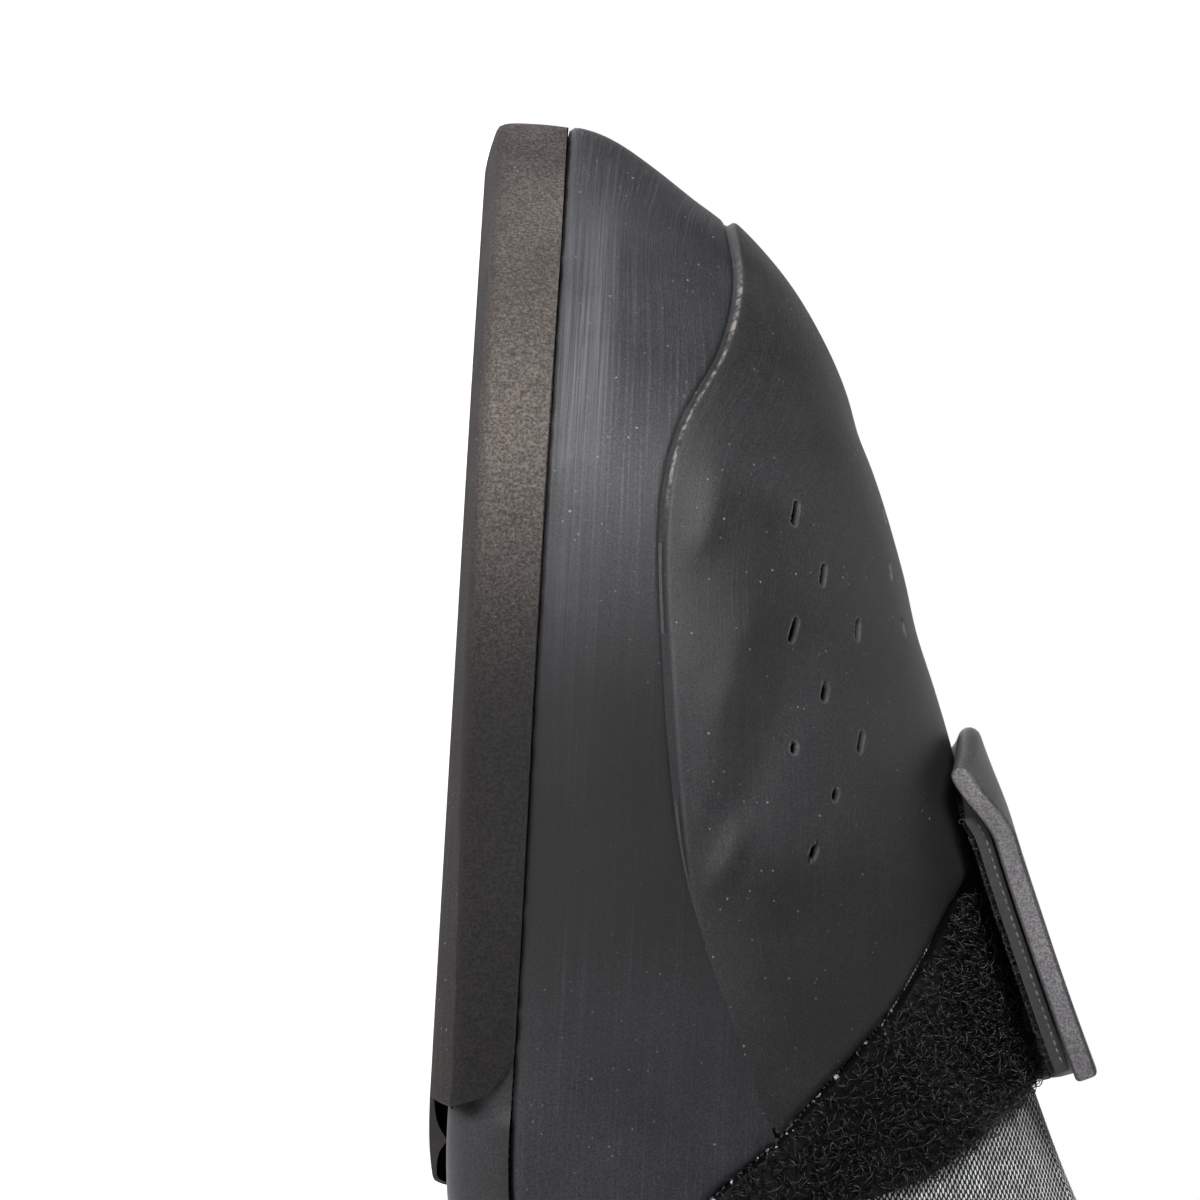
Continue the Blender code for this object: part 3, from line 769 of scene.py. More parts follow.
def band_rubber():
    """Side band of the sole: brown-grey sanded rubber, palest near the toe joint, with painted shade
    darkening it towards the heel.
    """
    skin = rubber("outsole_side", 0.036, 0.11, 0.78, 0.0, dust=0.60, grain=1.0, spread=0.4)
    parts = skin.split(skin.at)
    pale = skin.window(parts["Y"], 0.066, 0.105, 0.022)
    pale = skin.times(pale, skin.ramp(skin.noise(skin.at, 900.0, 5.0, 0.85), 0.36, 0.62, 0.45, 1.0))
    skin.tint(pale, 0.75, grey(0.088, 0.14, 0.0))
    # Painted shade: the band darkens towards the heel, where less light falls.
    skin.tint(skin.ramp(parts["Y"], 0.088, 0.046), 0.95, grey(0.009, 0.05, 0.01))
    skin.grain(skin.ramp(skin.noise(skin.at, 2500.0, 3.0, 0.8), 0.38, 0.62, 0.55, 1.5))
    skin.tint(skin.ramp(parts["Z"], 0.0030, 0.0012), 0.6, grey(0.020, 0.08))
    strokes = skin.noise(skin.stretched(skin.at, (260.0, 260.0, 1500.0), (0.0, 0.0, 0.6)), 1.0)
    lines = skin.noise(skin.stretched(skin.at, (1800.0, 70.0, 1800.0), (0.35, 0.0, 0.5)), 1.0)
    lumps = skin.noise(skin.at, 900.0, 4.0, 0.7)
    skin.bumps += [(lines, 0.5, 0.08), (lumps, 0.7, 0.14), (strokes, 0.3, 0.06)]
    return skin.wire(0.25)


def sole_bottom():
    """Underside: very dark, with diagonal sanding strokes and bright dust."""
    skin = rubber("outsole_bottom", 0.018, 0.10, 0.80, 0.0, dust=0.45, grain=0.8, spread=0.4)
    strokes = skin.noise(skin.stretched(skin.at, (1400.0, 55.0, 40.0), (0.0, 0.0, 0.6)), 1.0)
    patch = skin.ramp(skin.noise(skin.at, 55.0, 2.0), 0.40, 0.60)
    skin.tint(skin.times(skin.ramp(strokes, 0.55, 0.68), patch), 0.6, grey(0.006))
    skin.bumps.append((skin.times(strokes, patch), 0.8, 0.20))
    return skin.wire(0.3)


def rand_finish():
    """Rand: fine lengthwise lines, a painted highlight strip by the seam, painted shade along the seam
    and in the groove under the toe patch's lip, and painted shade over a stretch further back.
    """
    skin = rubber("rand_satin", 0.019, -0.06, 0.46, 0.9, dust=0.45, grain=0.8, lined=True)
    seam, along = skin.attribute("seam"), skin.split(skin.at)["Y"]
    # Painted shade along the seam with the outsole, where the rand's edge turns into the gap.
    skin.tint(skin.ramp(seam, 0.7, 0.15), 0.9, grey(0.003))
    # Painted highlight: a pale satin sheen strip above the seam, towards the toe, broken up by the
    # lengthwise lines.
    wear_and_highlight = skin.times(skin.window(seam, 0.6, 7.0, 1.6), skin.window(along, 0.050, 0.112, 0.020))
    wear_and_highlight = skin.times(wear_and_highlight, skin.ramp(skin.noise(skin.at, 60.0, 3.0), 0.35, 0.65, 0.35, 1.0))
    wear_and_highlight = skin.times(wear_and_highlight, skin.ramp(skin.lines, 0.36, 0.62, 0.25, 1.0))
    skin.tint(wear_and_highlight, 0.7, grey(0.095, -0.06))
    # Painted shade: a darker stretch further back along the rand, where less light falls; it is also
    # made rougher.
    painted_shade = skin.window(along, 0.014, 0.066, 0.018)
    skin.tint(painted_shade, 0.85, grey(0.004, -0.06))
    skin.roughness = skin.add(skin.roughness, skin.times(painted_shade, 0.3))
    # Painted shade along the rand's top edge, in the groove under the toe patch's lip.
    skin.tint(skin.ramp(skin.attribute("back"), 0.8, 0.1), 0.85, grey(0.004))
    pits = skin.times(skin.noise(skin.at, 1500.0, 2.0), skin.ramp(seam, 5.0, 0.5))
    skin.bumps.append((pits, 0.35, 0.12))
    return skin.wire(0.36)


def patch_finish():
    """Toe patch: a thin painted highlight along the lip's edge, painted shade in the slots with painted
    highlights on their rims, pale ragged wear at the rear edge.
    """
    skin = rubber("patch_satin", 0.015, -0.04, 0.47, 0.35, dust=0.40, grain=0.8, lined=True)
    along = skin.split(skin.at)["Y"]
    # Painted highlight: a thin warm bright line just behind the lip's edge, near the toe.
    painted_lip_highlight = skin.window(skin.attribute("lip"), 0.10, 0.38, 0.10)
    painted_lip_highlight = skin.times(painted_lip_highlight, skin.window(along, 0.0765, 0.1065, 0.004))
    painted_lip_highlight = skin.times(painted_lip_highlight, skin.ramp(skin.noise(skin.at, 650.0, 4.0, 0.7), 0.44, 0.62))
    skin.tint(painted_lip_highlight, 0.6, grey(0.26, 0.09, 0.0))
    # Painted shade: the slots' insides are painted nearly black and made metallic, so they show almost
    # no light.
    pit = skin.ramp(skin.attribute("pit"), 0.1, 0.9)
    skin.tint(pit, 0.98, grey(0.0008))
    skin.feed(skin.shader["Metallic"], pit)
    # Painted highlight on the slots' rims.
    rim = skin.times(skin.ramp(skin.attribute("slot"), 0.35, 1.0), skin.less(1.0, pit))
    skin.tint(rim, 0.45, grey(0.10))
    ragged = skin.ramp(skin.noise(skin.at, 700.0, 3.0, 0.7), 0.55, 0.68)
    back = skin.ramp(skin.attribute("back"), 0.9, 0.1)
    skin.tint(skin.times(back, ragged), 0.7, grey(0.16, 0.02))
    return skin.wire(0.36)


def cloth(name, tone, rough, scale, strength, distance, sheen=0.15):
    skin = Finish(name)
    fine = skin.noise(skin.at, scale, 3.0, 0.65)
    skin.colour = skin.blend(skin.ramp(fine, 0.35, 0.7), grey(tone * 0.55), grey(tone * 1.6))
    skin.tint(skin.effect(DUST, Share=0.06), 0.5, grey(0.4))
    skin.roughness, skin.bumps = rough, [(fine, strength, distance)]
    skin.shader["Sheen Weight"].default_value = sheen
    skin.shader["Sheen Roughness"].default_value = 0.5
    return skin.wire()


def knit_finish():
    """Black mesh with rows of pale stitch dots, from the cloth coordinates in millimetres."""
    skin = Finish("mesh_knit")
    parts = skin.split(skin.cloth_place())
    wobble = skin.times(skin.less(skin.noise(skin.at, 300.0, 1.0), 0.5), 0.5)
    row = skin.add(skin.math("DIVIDE", parts["Y"], KNIT_PITCH * 0.87), wobble)
    odd = skin.times(skin.math("MODULO", skin.math("FLOOR", row), 2.0), 0.5)
    across = skin.add(skin.math("DIVIDE", parts["X"], KNIT_PITCH), odd)
    dx = skin.less(skin.math("FRACT", skin.add(across, wobble)), 0.5)
    dy = skin.less(skin.math("FRACT", row), 0.5)
    square = skin.add(skin.math("POWER", skin.times(dx, 1.25), 2.0), skin.math("POWER", dy, 2.0))
    fuzz = skin.times(skin.less(skin.noise(skin.at, 2600.0, 2.0), 0.5), 0.30)
    dot = skin.ramp(skin.add(skin.math("SQRT", square), fuzz), 0.46, 0.30)
    lit = skin.ramp(skin.noise(skin.at, 700.0, 1.0), 0.3, 0.60, 0.6, 1.0)
    wear_and_highlight = skin.ramp(skin.noise(skin.at, 60.0, 2.0), 0.35, 0.65, 0.6, 1.0)
    weave = skin.noise(skin.at, 1900.0, 2.0)
    ground = skin.blend(weave, grey(0.002), grey(0.018, -0.02))
    share = skin.times(dot, skin.times(lit, wear_and_highlight))
    skin.colour = skin.blend(share, ground, grey(1.0, -0.01, 0.0))
    skin.roughness, skin.bumps = 0.85, [(dot, 0.8, 0.22), (weave, 0.5, 0.10)]
    return skin.wire()


# Rubber over the front of the upper
SKIN = FIT_GAP + RAND_THICKNESS
PATCH_SKIN = FIT_GAP + PATCH_THICKNESS


def spread_columns(first, last, knots):
    """Columns from first to last with a step of its own between each pair of knots."""
    found = [first]
    for until, step in knots:
        until = min(until, last)
        if until > found[-1]:
            count = max(1, int(round((until - found[-1]) / step)))
            found += np.linspace(found[-1], until, count + 1)[1:].tolist()
    return np.array(found)


def image_height(points):
    """Height along the sole's normal as the photograph shows it, in millimetres."""
    return -points[..., 0] * math.sin(SEEN_TILT) + points[..., 2] * math.cos(SEEN_TILT)


def slot_frames(points, normals, sides):
    """Centre, long direction and cross direction of each slot, found on the patch's grid."""
    frames = []
    for station, height, length, lean in SLOT_ROWS:
        seen = image_height(points)
        miss = (points[..., 1] + station) ** 2 + (seen - height) ** 2 + np.where(sides < 0, 0.0, 1e6)
        row, column = np.unravel_index(np.argmin(miss), miss.shape)
        mirror = np.argmin(np.abs(sides[:, 0] + sides[row, 0]))
        for index, turn in ((row, 1.0), (mirror, -1.0)):
            centre, facing = points[index, column], normals[index, column]
            long = np.array([0.0, math.cos(lean), 0.0])
            side = unit(np.cross(facing, long)) * turn
            long = unit(long + side * math.sin(lean))
            long = unit(long - facing * (long @ facing))
            frames.append((centre, long, unit(np.cross(facing, long)), facing, length))
    return frames


def carve_slots(points, frames):
    """Snaps the nearest grid points on to each slot's rim and gives the depth inside it."""
    depth = np.zeros(points.shape[:-1])
    rim = np.zeros(points.shape[:-1])
    moved = points.copy()
    for centre, long, across, facing, length in frames:
        offset = points - centre
        near = np.linalg.norm(offset, axis=-1) < length
        p, q, h = offset @ long, offset @ across, offset @ facing
        over = np.clip(p, -0.5 * (length - SLOT_WIDTH), 0.5 * (length - SLOT_WIDTH))
        vector = np.stack([p - over, q], axis=-1)
        size = np.maximum(np.linalg.norm(vector, axis=-1), 1e-6)
        gap = size - 0.5 * SLOT_WIDTH
        near &= np.abs(h) < 4.0
        snap = near & (np.abs(gap) < 0.5 * PATCH_CELL)
        push = -(vector / size[..., None]) * gap[..., None]
        shift = push[..., :1] * long + push[..., 1:] * across
        moved = np.where(snap[..., None], points + shift, moved)
        inside = near & (gap <= -0.5 * PATCH_CELL)
        sunk = SLOT_DEPTH * np.clip(-gap / SLOT_WALL, 0.0, 1.0)
        depth = np.where(inside, np.maximum(depth, sunk), depth)
        rim = np.maximum(rim, np.where(near, np.exp(-((gap / 0.35) ** 2)), 0.0))
    return moved, depth, rim


def soft_folds(points):
    """Height of soft troughs (negative) and ridges of FOLD_ROWS on the lateral side."""
    made = np.zeros(points.shape[:-1])
    seen = image_height(points)
    for station, height, length, width, lean, lift in FOLD_ROWS:
        ahead = -points[..., 1] - station
        up = seen - height
        p = ahead * math.cos(lean) + up * math.sin(lean)
        q = -ahead * math.sin(lean) + up * math.cos(lean)
        made += lift * np.exp(-((q / width) ** 2)) * np.exp(-((p / length) ** 4))
    return made


def tail_share(station):
    """0 where the toe patch stands over the rand, 1 where both are one skin."""
    return smooth((station - TAIL_START) / TAIL_RUN)


def tail_at(around, level):
    return tail_share(-wall_point(around, level)[..., 1])


def lip_lift(station):
    """How far the toe patch stands over the rand; it runs out at the tail."""
    return (PATCH_SKIN - SKIN) * (1.0 - tail_share(station))


def skin_uv(around, arc):
    """Millimetres along the shoe and up its wall, for a grid with a hidden row at each edge."""
    along_wall = np.repeat(around[:, :1], arc.shape[1] + 2, axis=1) * CLOTH_SPAN
    return np.stack([along_wall, edged(arc)], axis=-1).reshape(-1, 2)


def toe_patch_piece(finishes):
    tries = np.arange(0.75, 0.3, -0.002)
    room = level_at(tries, RUBBER_ROWS) - level_at(tries, LIP_ROWS)
    reach = float(tries[np.argmax(room >= PATCH_TIP)])
    fine = ((0.03, 0.004), (0.33, 0.0015), (0.42, 0.0035), (reach, 0.007))
    plain = ((0.03, 0.004), (0.33, 0.0024), (0.42, 0.0045), (reach, 0.008))
    lateral, medial = spread_columns(0.0, reach, fine), spread_columns(0.0, reach, plain)
    around = np.concatenate([-lateral[:0:-1], medial])
    lip, edge = level_at(around, LIP_ROWS), level_at(around, RUBBER_ROWS)
    low = gap_level(around, lip, LIP_GAP * (1.0 - tail_at(around, lip)))
    under = gap_level(around, lip, -0.9)
    shares = spread_columns(0.0, 1.0, ((0.06, 0.006), (0.30, 0.008), (0.92, 0.0042), (1.0, 0.006)))
    level = low[:, None] + (edge - low)[:, None] * shares
    around = np.repeat(around[:, None], len(shares), axis=1)
    points, normals = form(around, level)
    arc = arc_length(points)
    back = arc[:, -1:] - arc
    station = -points[..., 1]
    tail = tail_share(station)
    lift = lip_lift(station)
    base = SKIN + lift + 0.16 * waves(points, 34.0, 3) * smooth(arc / 6.0)
    drop = 1.0 - np.sqrt(np.maximum(0.0, 1.0 - (1.0 - arc / LIP_ROUND) ** 2))
    base -= np.where(arc < LIP_ROUND, (lift + 0.1 * (1.0 - tail)) * drop, 0.0)
    base -= np.where(back < EDGE_ROUND, EDGE_DROP * (1.0 - back / EDGE_ROUND) ** 2, 0.0)
    base += soft_folds(points)
    base = np.minimum(base, PATCH_SKIN + 0.5)
    skin = points + normals * base[..., None]
    skin, depth, rim = carve_slots(skin, slot_frames(skin, normals, around))
    skin -= normals * depth[..., None]
    start = form(around[:, 0], under, mix(SKIN - 0.5, SKIN - 0.05, tail[:, 0]))[0][:, None]
    end = (points + normals * HIDDEN_EDGE)[:, -1:]
    every = np.concatenate([start, skin, end], axis=1)
    return put_grid(
        "toe_patch_skin",
        every,
        finishes,
        ["toe_patch"],
        uv=skin_uv(around, arc),
        values={
            "lip": edged(arc + 8.0 * tail),
            "back": edged(back),
            "slot": edged(rim),
            "pit": edged(depth),
        },
        sharp=50.0,
    )


def rand_piece(finishes):
    end = around_at(HEEL_FRONT - ARCH_GAP)
    side = spread_columns(0.0, end, ((0.12, 0.0022), (0.5, 0.0026), (end, 0.005)))
    around = np.concatenate([-side[:0:-1], side])
    lip, edge = level_at(around, LIP_ROWS), level_at(around, RUBBER_ROWS)
    patched = lip < edge
    top = np.minimum(lip, edge)
    low = gap_level(around, np.zeros_like(around), 0.5 * FIT_GAP)
    shares = 1.0 - (1.0 - np.linspace(0.0, 1.0, RAND_LEVELS)) ** 1.15
    level = low[:, None] + (top - low)[:, None] * shares
    around = np.repeat(around[:, None], RAND_LEVELS, axis=1)
    points, normals = form(around, level)
    arc = arc_length(points)
    back = arc[:, -1:] - arc
    station = -points[..., 1]
    uneven = 0.12 * waves(points, 26.0, 11)
    base = np.full_like(arc, SKIN) + uneven * smooth(back / 4.0) * smooth(arc / 4.0)
    ragged = 0.5 + 0.5 * waves(points, 3.0, 5)
    base -= np.where(arc < 0.9, 0.55 * (0.5 + ragged) * (1.0 - arc / 0.9) ** 2, 0.0)
    groove = np.where(patched[:, None], 0.30 * (lip_lift(station) / (PATCH_SKIN - SKIN)), 0.0)
    base -= groove * np.exp(-((back / 0.45) ** 2))
    free = np.where(patched[:, None], 0.0, EDGE_DROP)
    base -= np.where(back < EDGE_ROUND, free * (1.0 - back / EDGE_ROUND) ** 2, 0.0)
    skin = points + normals * base[..., None]
    down = points[:, :1] - points[:, 1:2]
    down /= np.linalg.norm(down, axis=-1, keepdims=True)
    start = (points + normals * HIDDEN_EDGE)[:, :1] + down * 0.9 * FIT_GAP
    joined = np.where(patched, tail_at(around[:, 0], top), 0.0)
    over = gap_level(around[:, 0], top, 0.9 * joined)
    end_row = form(around[:, 0], over, mix(HIDDEN_EDGE, SKIN - 0.05, joined))[0][:, None]
    every = np.concatenate([start, skin, end_row], axis=1)
    past = np.where(patched, 9.0 * joined, 30.0)
    return put_grid(
        "rand_skin",
        every,
        finishes,
        ["rand"],
        uv=skin_uv(around, arc),
        values={"seam": edged(arc), "back": edged(back + past[:, None])},
        sharp=50.0,
    )


# Sole cups
def join_sides(left, right, count, lift=0.0):
    """Both sides with the bottom's points between them, lifted off the arch's height."""
    share = np.linspace(0.0, 1.0, count)[1:-1]
    middle = left[:, -1:] + (right[:, -1:] - left[:, -1:]) * share[None, :, None]
    middle[..., 2] = lift + arch_height(-middle[..., 1])
    return np.concatenate([left, middle, right[:, ::-1]], axis=1)


def cup_profile(around, top, thickness, edge_height, wall_rows):
    """One side's outer line from its top edge down to the flat bottom, for every column."""
    zero = np.zeros_like(around)
    station = column_station(around, zero)
    floor = arch_height(station)
    outward, base = plan_normal(around), wall_point(around, zero)
    shares = np.linspace(0.0, 1.0, wall_rows)
    levels = top[:, None] * (1.0 - shares)
    wall = form(np.repeat(around[:, None], wall_rows, axis=1), levels, thickness)[0]
    offsets = (FIT_GAP + 0.15, thickness - 0.35)
    rows = [form(around, top, np.full_like(around, offset))[0] for offset in offsets]
    rows += [wall[:, index] for index in range(wall_rows)]
    ridge = floor + edge_height
    start = wall[:, -1, 2]

    def at(offset, height):
        made = base + outward * np.broadcast_to(offset, around.shape)[:, None]
        made[:, 2] = height
        return made

    for share in np.linspace(0.0, 1.0, BAND_ROWS + 1)[1:]:
        bulge = BAND_SWELL * math.sin(math.pi * share)
        rows.append(at(thickness + bulge - 0.35 * max(0.0, share - 0.9) / 0.1, mix(start, ridge, share)))
    for share in np.linspace(0.0, 1.0, BOTTOM_ROWS + 1)[1:]:
        inset = 0.35 + (1.5 * EDGE_BEVEL - 0.35) * share
        height = floor + edge_height * (1.0 - share) ** 1.6 * 0.9
        rows.append(at(thickness - inset, height))
    return np.stack(rows, axis=1)


def cup_piece(name, sides, thickness, wall_rows, finishes, uses, rough=0.0, seed=0, corner=0.0):
    """Rubber cup from (columns, top levels, edge heights) of its lateral and medial side."""
    left, right = (cup_profile(*side[:2], thickness, side[2], wall_rows) for side in sides)
    if corner:
        over = np.clip(-left[..., 1] - (LATERAL_SOLE_END - corner), 0.0, corner)
        limit = FEATHER - 0.5 * FIT_GAP - (corner - np.sqrt(corner**2 - over**2))
        left[..., 2] = np.minimum(left[..., 2], limit)
    every = join_sides(left, right, BOTTOM_COLUMNS)
    if rough:
        shift = rough * waves(every, 5.0, seed)
        wall = np.zeros(every.shape[1])
        wall[1 : wall_rows + BAND_ROWS] = 1.0
        wall[-(wall_rows + BAND_ROWS) : -1] = 1.0
        outward = unit(every - every.mean(axis=1, keepdims=True)) * np.array([1.0, 0.3, 0.0])
        every = every + outward * (shift * wall[None, :])[..., None]
    every[..., 2] = np.maximum(every[..., 2], 0.0)
    centre = every[0].mean(axis=0)
    centre[2] = FEATHER - 2.0
    inward = centre - every[0]
    size = np.linalg.norm(inward, axis=-1, keepdims=True)
    face = every[0] + inward / size * np.minimum(END_FACE, 0.9 * size)
    every = np.concatenate([face[None], every])
    rows, count = every.shape[:2]
    side_count, column = left.shape[1] - BOTTOM_ROWS, np.arange(count - 1)
    under = (column >= side_count) & (column < count - side_count - 1)
    slots = np.tile(under, (rows - 1, 1)).ravel().astype(int)
    return put_grid(name, every, finishes, uses, slots=slots, sharp=60.0)


def outsole_piece(finishes):
    sides = []
    for last in (-around_at(LATERAL_SOLE_END), around_at(MEDIAL_SOLE_END)):
        around = last * np.linspace(1.0, 0.0, OUTSOLE_COLUMNS)
        level = np.zeros_like(around)
        station = column_station(around, level)
        grown = EDGE_GROWTH * smooth((station - EDGE_GROWTH_START) / EDGE_GROWTH_RUN)
        uneven = 0.175 * waves(np.stack([station] * 3, -1), 12.0, 2, 2)
        sides.append((around, level, EDGE_HEIGHT * (1.0 + grown * (last < 0)) + uneven))
    marks = {"rough": 0.07, "seed": 21, "corner": SOLE_CORNER}
    return cup_piece("outsole_cup", sides, BAND_THICKNESS, 2, finishes, ["outsole"], **marks)


def heel_piece(finishes):
    columns = np.linspace(around_at(HEEL_FRONT), 1.0, 120)
    height = np.full_like(columns, HEEL_EDGE_HEIGHT)
    sides = [(around, level_at(around, CUP_ROWS), height) for around in (-columns, columns)]
    thickness = FIT_GAP + HEEL_THICKNESS
    return cup_piece("heel_cup_skin", sides, thickness, 40, finishes, ["heel_cup"])


def arch_piece(finishes):
    end = around_at(HEEL_FRONT - ARCH_GAP)
    lateral = -np.linspace(around_at(LATERAL_SOLE_END - SOLE_CORNER - 1.0), end, 130)
    medial = np.linspace(around_at(MEDIAL_SOLE_END + ARCH_GAP), end, 130)
    sides, levels = [], np.linspace(0.0, -1.0, 18)
    for around in (lateral, medial):
        station = column_station(around, np.zeros_like(around))
        clear = np.ones_like(around)
        if around[0] < 0:
            clear = smooth((station - LATERAL_SOLE_END + 0.5) / 3.0)
        offset = FIT_GAP + ARCH_THICKNESS * mix(0.45, 1.0, clear)
        grid = form(around[:, None], levels[None], offset[:, None])[0]
        grid[:, 0, 2] -= 0.5 * FIT_GAP
        inner = form(around, np.zeros_like(around), FIT_GAP + 0.1)[0][:, None]
        inner[..., 2] -= 0.5 * FIT_GAP
        sides.append(np.concatenate([inner, grid], axis=1))
    every = join_sides(*sides, 20, UNDERSIDE - FIT_GAP - ARCH_THICKNESS)
    return put_grid("arch_skin", every, finishes, ["arch_rubber"])


# Upper and collar
def upper_piece(finishes):
    around = np.linspace(-1.0, 1.0, 481)[:-1]
    levels = np.concatenate([[-0.45, -0.2], np.linspace(0.0, 1.0, 70)])
    grid = np.repeat(around[:, None], len(levels), axis=1)
    height = np.repeat(levels[None], len(around), axis=0)
    points, normals = form(grid, height)
    inner = (points - normals * UPPER_WALL)[:, ::-1]
    arc = arc_length(points)
    middle = points[:, 45]
    girth = np.concatenate([[0.0], np.cumsum(np.linalg.norm(np.diff(middle, axis=0), axis=-1))])
    station = -points[..., 1]
    aside = np.abs(points[..., 0] - last_value("axis", station) * BALL_WIDTH)
    flat = station + np.minimum(aside, KNIT_TURN)
    u = np.where(np.abs(grid) < 0.8, flat, girth[:, None] * np.ones_like(arc))
    uv = np.stack([u, arc], axis=-1)
    every = np.concatenate([points, inner], axis=1)
    lining = np.stack([u, arc + LINING_SHIFT], axis=-1)[:, ::-1]
    rows, count = every.shape[:2]
    inside = np.tile(np.arange(count) >= len(levels) - 1, (rows, 1)).ravel().astype(int)
    marks = {"uv": np.concatenate([uv, lining], axis=1).reshape(-1, 2), "slots": inside}
    return put_grid("upper_knit", every, finishes, ["upper"], (True, True), **marks)


def binding_piece(finishes):
    around = np.linspace(-1.0, 1.0, 401)[:-1]
    ones = np.ones_like(around)
    rim, _ = form(around, ones, -0.5 * UPPER_WALL)
    below, _ = form(around, 0.97 * ones, -0.5 * UPPER_WALL)
    up, out = unit(rim - below), wall_normal(around, ones)
    centre = rim + up * (FIT_GAP + 0.5 * BINDING_HEIGHT)
    turn = 2.0 * math.pi * (np.arange(28) + 0.5) / 28
    side = 0.5 * BINDING_WIDTH * np.cos(turn)
    rise = 0.5 * BINDING_HEIGHT * np.clip(1.15 * np.sin(turn), -1.0, 1.0)
    every = centre[:, None] + out[:, None] * side[None, :, None] + up[:, None] * rise[None, :, None]
    return put_grid("collar_binding_knit", every, finishes, ["collar_binding"], (True, True))


# Strap and its pads
def ridge_frame(station):
    slope = (ridge_height(station + 1.0) - ridge_height(station - 1.0)) / 2.0
    point = np.stack([last_value("axis", station) * BALL_WIDTH, -station, ridge_height(station)], -1)
    return point, unit(np.stack([np.zeros_like(slope), slope, np.ones_like(slope)], -1))


def free_run(share, reach, rise):
    share, reach = np.broadcast_arrays(np.asarray(share, float), np.asarray(reach, float))
    front = STRAP_FRONT * LAST_LENGTH + STRAP_SWEEP * smooth(reach / STRAP_REACH - SWEEP_START)
    point, up = ridge_frame(mix(front, STRAP_REAR * LAST_LENGTH, share))
    ease = 1.0 - smooth(share / STRAP_EASE)
    bend = (reach / STRAP_REACH) ** 2
    lift = mix(STRAP_LIFT, STRAP_FRONT_LIFT, ease)
    lift = lift - bend * (STRAP_DROOP + STRAP_CORNER_DROOP * ease)
    point = point + up * (lift + np.asarray(rise))[..., None]
    point[..., 0] -= reach
    return point


def slab_outline(width_count, corners, thickness, width):
    """Shares across and up of a flat bar's outline, with its front and rear corner radii."""
    made = []
    front, rear = corners
    turns = ((1, 1, 90, rear), (1, 0, 0, rear), (0, 0, -90, front), (0, 1, -180, front))
    for end, top, start, size in turns:
        up, across = size / thickness, size / width
        centre = (1 - across if end else across, 1 - up if top else up)
        for step in range(5):
            angle = math.radians(start - 22.5 * step)
            made.append((centre[0] + across * math.cos(angle), centre[1] + up * math.sin(angle)))
    full = []
    for index, first in enumerate(made):
        second = made[(index + 1) % len(made)]
        across, up = abs(first[0] - second[0]), abs(first[1] - second[1])
        count = width_count if across > 0.5 else 3 if up > 0.3 else 1
        for step in range(count):
            full.append([mix(a, b, step / count) for a, b in zip(first, second)])
    return np.array(full)


def strap_piece(finishes):
    outline = slab_outline(34, (1.35, 0.6), STRAP_THICKNESS, STRAP_SPAN)
    shares, rises = outline[:, 0], outline[:, 1]
    rings = []
    turned = [(-row[0],) + row[1:] for row in STRAP_ROWS]
    for place in np.linspace(turned[0][0], turned[-1][0], 60):
        front, rear, lift_front, lift_rear = (curve(turned, column, place) for column in (1, 2, 3, 4))
        station = mix(front, rear, shares) * LAST_LENGTH
        lift = mix(lift_front, lift_rear, smooth(LIFT_SPAN * shares - LIFT_START))
        lift = lift + rises * STRAP_THICKNESS
        rings.append(section_angle(station, -place, lift)[0])
    ends = []
    for reach in np.linspace(0.0, STRAP_REACH - 0.4, 40):
        ends.append((reach, 1.0))
    for step in range(1, 4):
        angle = 0.5 * math.pi * step / 3
        ends.append((STRAP_REACH - 0.4 + 0.4 * math.sin(angle), 1.0 - 0.28 * (1.0 - math.cos(angle))))
    for reach, full in ends:
        rise = 0.5 + (rises - 0.5) * full
        rings.append(free_run(shares, reach, rise * STRAP_THICKNESS))
    every = np.stack(rings)
    every = every + 0.05 * waves(every, 30.0, 13)[..., None] * np.array([0.0, 0.0, 1.0])
    rows, count = every.shape[:2]
    marks = {"slots": [0] * ((rows - 1) * count + 1) + [1], "sharp": 35.0}
    return put_grid("strap_slab", every, finishes, ["strap"], (False, True), True, **marks)


def hook_piece(finishes):
    outline = slab_outline(30, (0.35, 0.35), HOOK_THICKNESS, HOOK_SPAN)
    shares = mix(HOOK_FRONT, HOOK_REAR, outline[:, 0])
    rings = []
    for reach in np.linspace(HOOK_START, STRAP_REACH - HOOK_INSET, 24):
        rings.append(free_run(shares, reach, -FIT_GAP - (1.0 - outline[:, 1]) * HOOK_THICKNESS))
    every = np.stack(rings)
    return put_grid("hook_pad_tape", every, finishes, ["hook_pad"], (False, True), True, sharp=35.0)


def pile_angles(station):
    def angle_of(height):
        rise = (height - feather_height(station)) / (ridge_height(station) - feather_height(station))
        return np.arccos(np.clip(rise, 0.0, 1.0) ** (last_value("dome", station) / 2.0))

    low = angle_of(table_height(RUBBER_ROWS, station) + PILE_EDGE_SHOWN)
    high = np.full_like(station, 0.10)
    open_side = station > PILE_ROWS[0][0] * LAST_LENGTH
    high = np.where(open_side, np.maximum(high, angle_of(table_height(PILE_ROWS, station))), high)
    return high, np.maximum(low, high + 0.03)


def pile_grid(rows, across, offset):
    station = np.linspace(PILE_FRONT * LAST_LENGTH, PILE_END * LAST_LENGTH, rows)
    high, low = pile_angles(station)
    shares = np.linspace(0.0, 1.0, across)
    angles = high[:, None] + (low - high)[:, None] * shares
    return section_angle(np.repeat(station[:, None], across, axis=1), -angles, offset)


def pile_base(finishes):
    rows, across = 90, 60
    outer, facing = pile_grid(rows, across, FIT_GAP + PILE_ROOM + 0.45 * PILE_THICKNESS)
    outer = outer + facing * (0.2 * waves(outer, 4.0, 31))[..., None]
    inner, _ = pile_grid(rows, across, FIT_GAP + 0.1)
    every = np.concatenate([outer, inner[:, ::-1]], axis=1)
    return put_grid("pile_base", every, finishes, ["pile_pad"], (False, True), True)


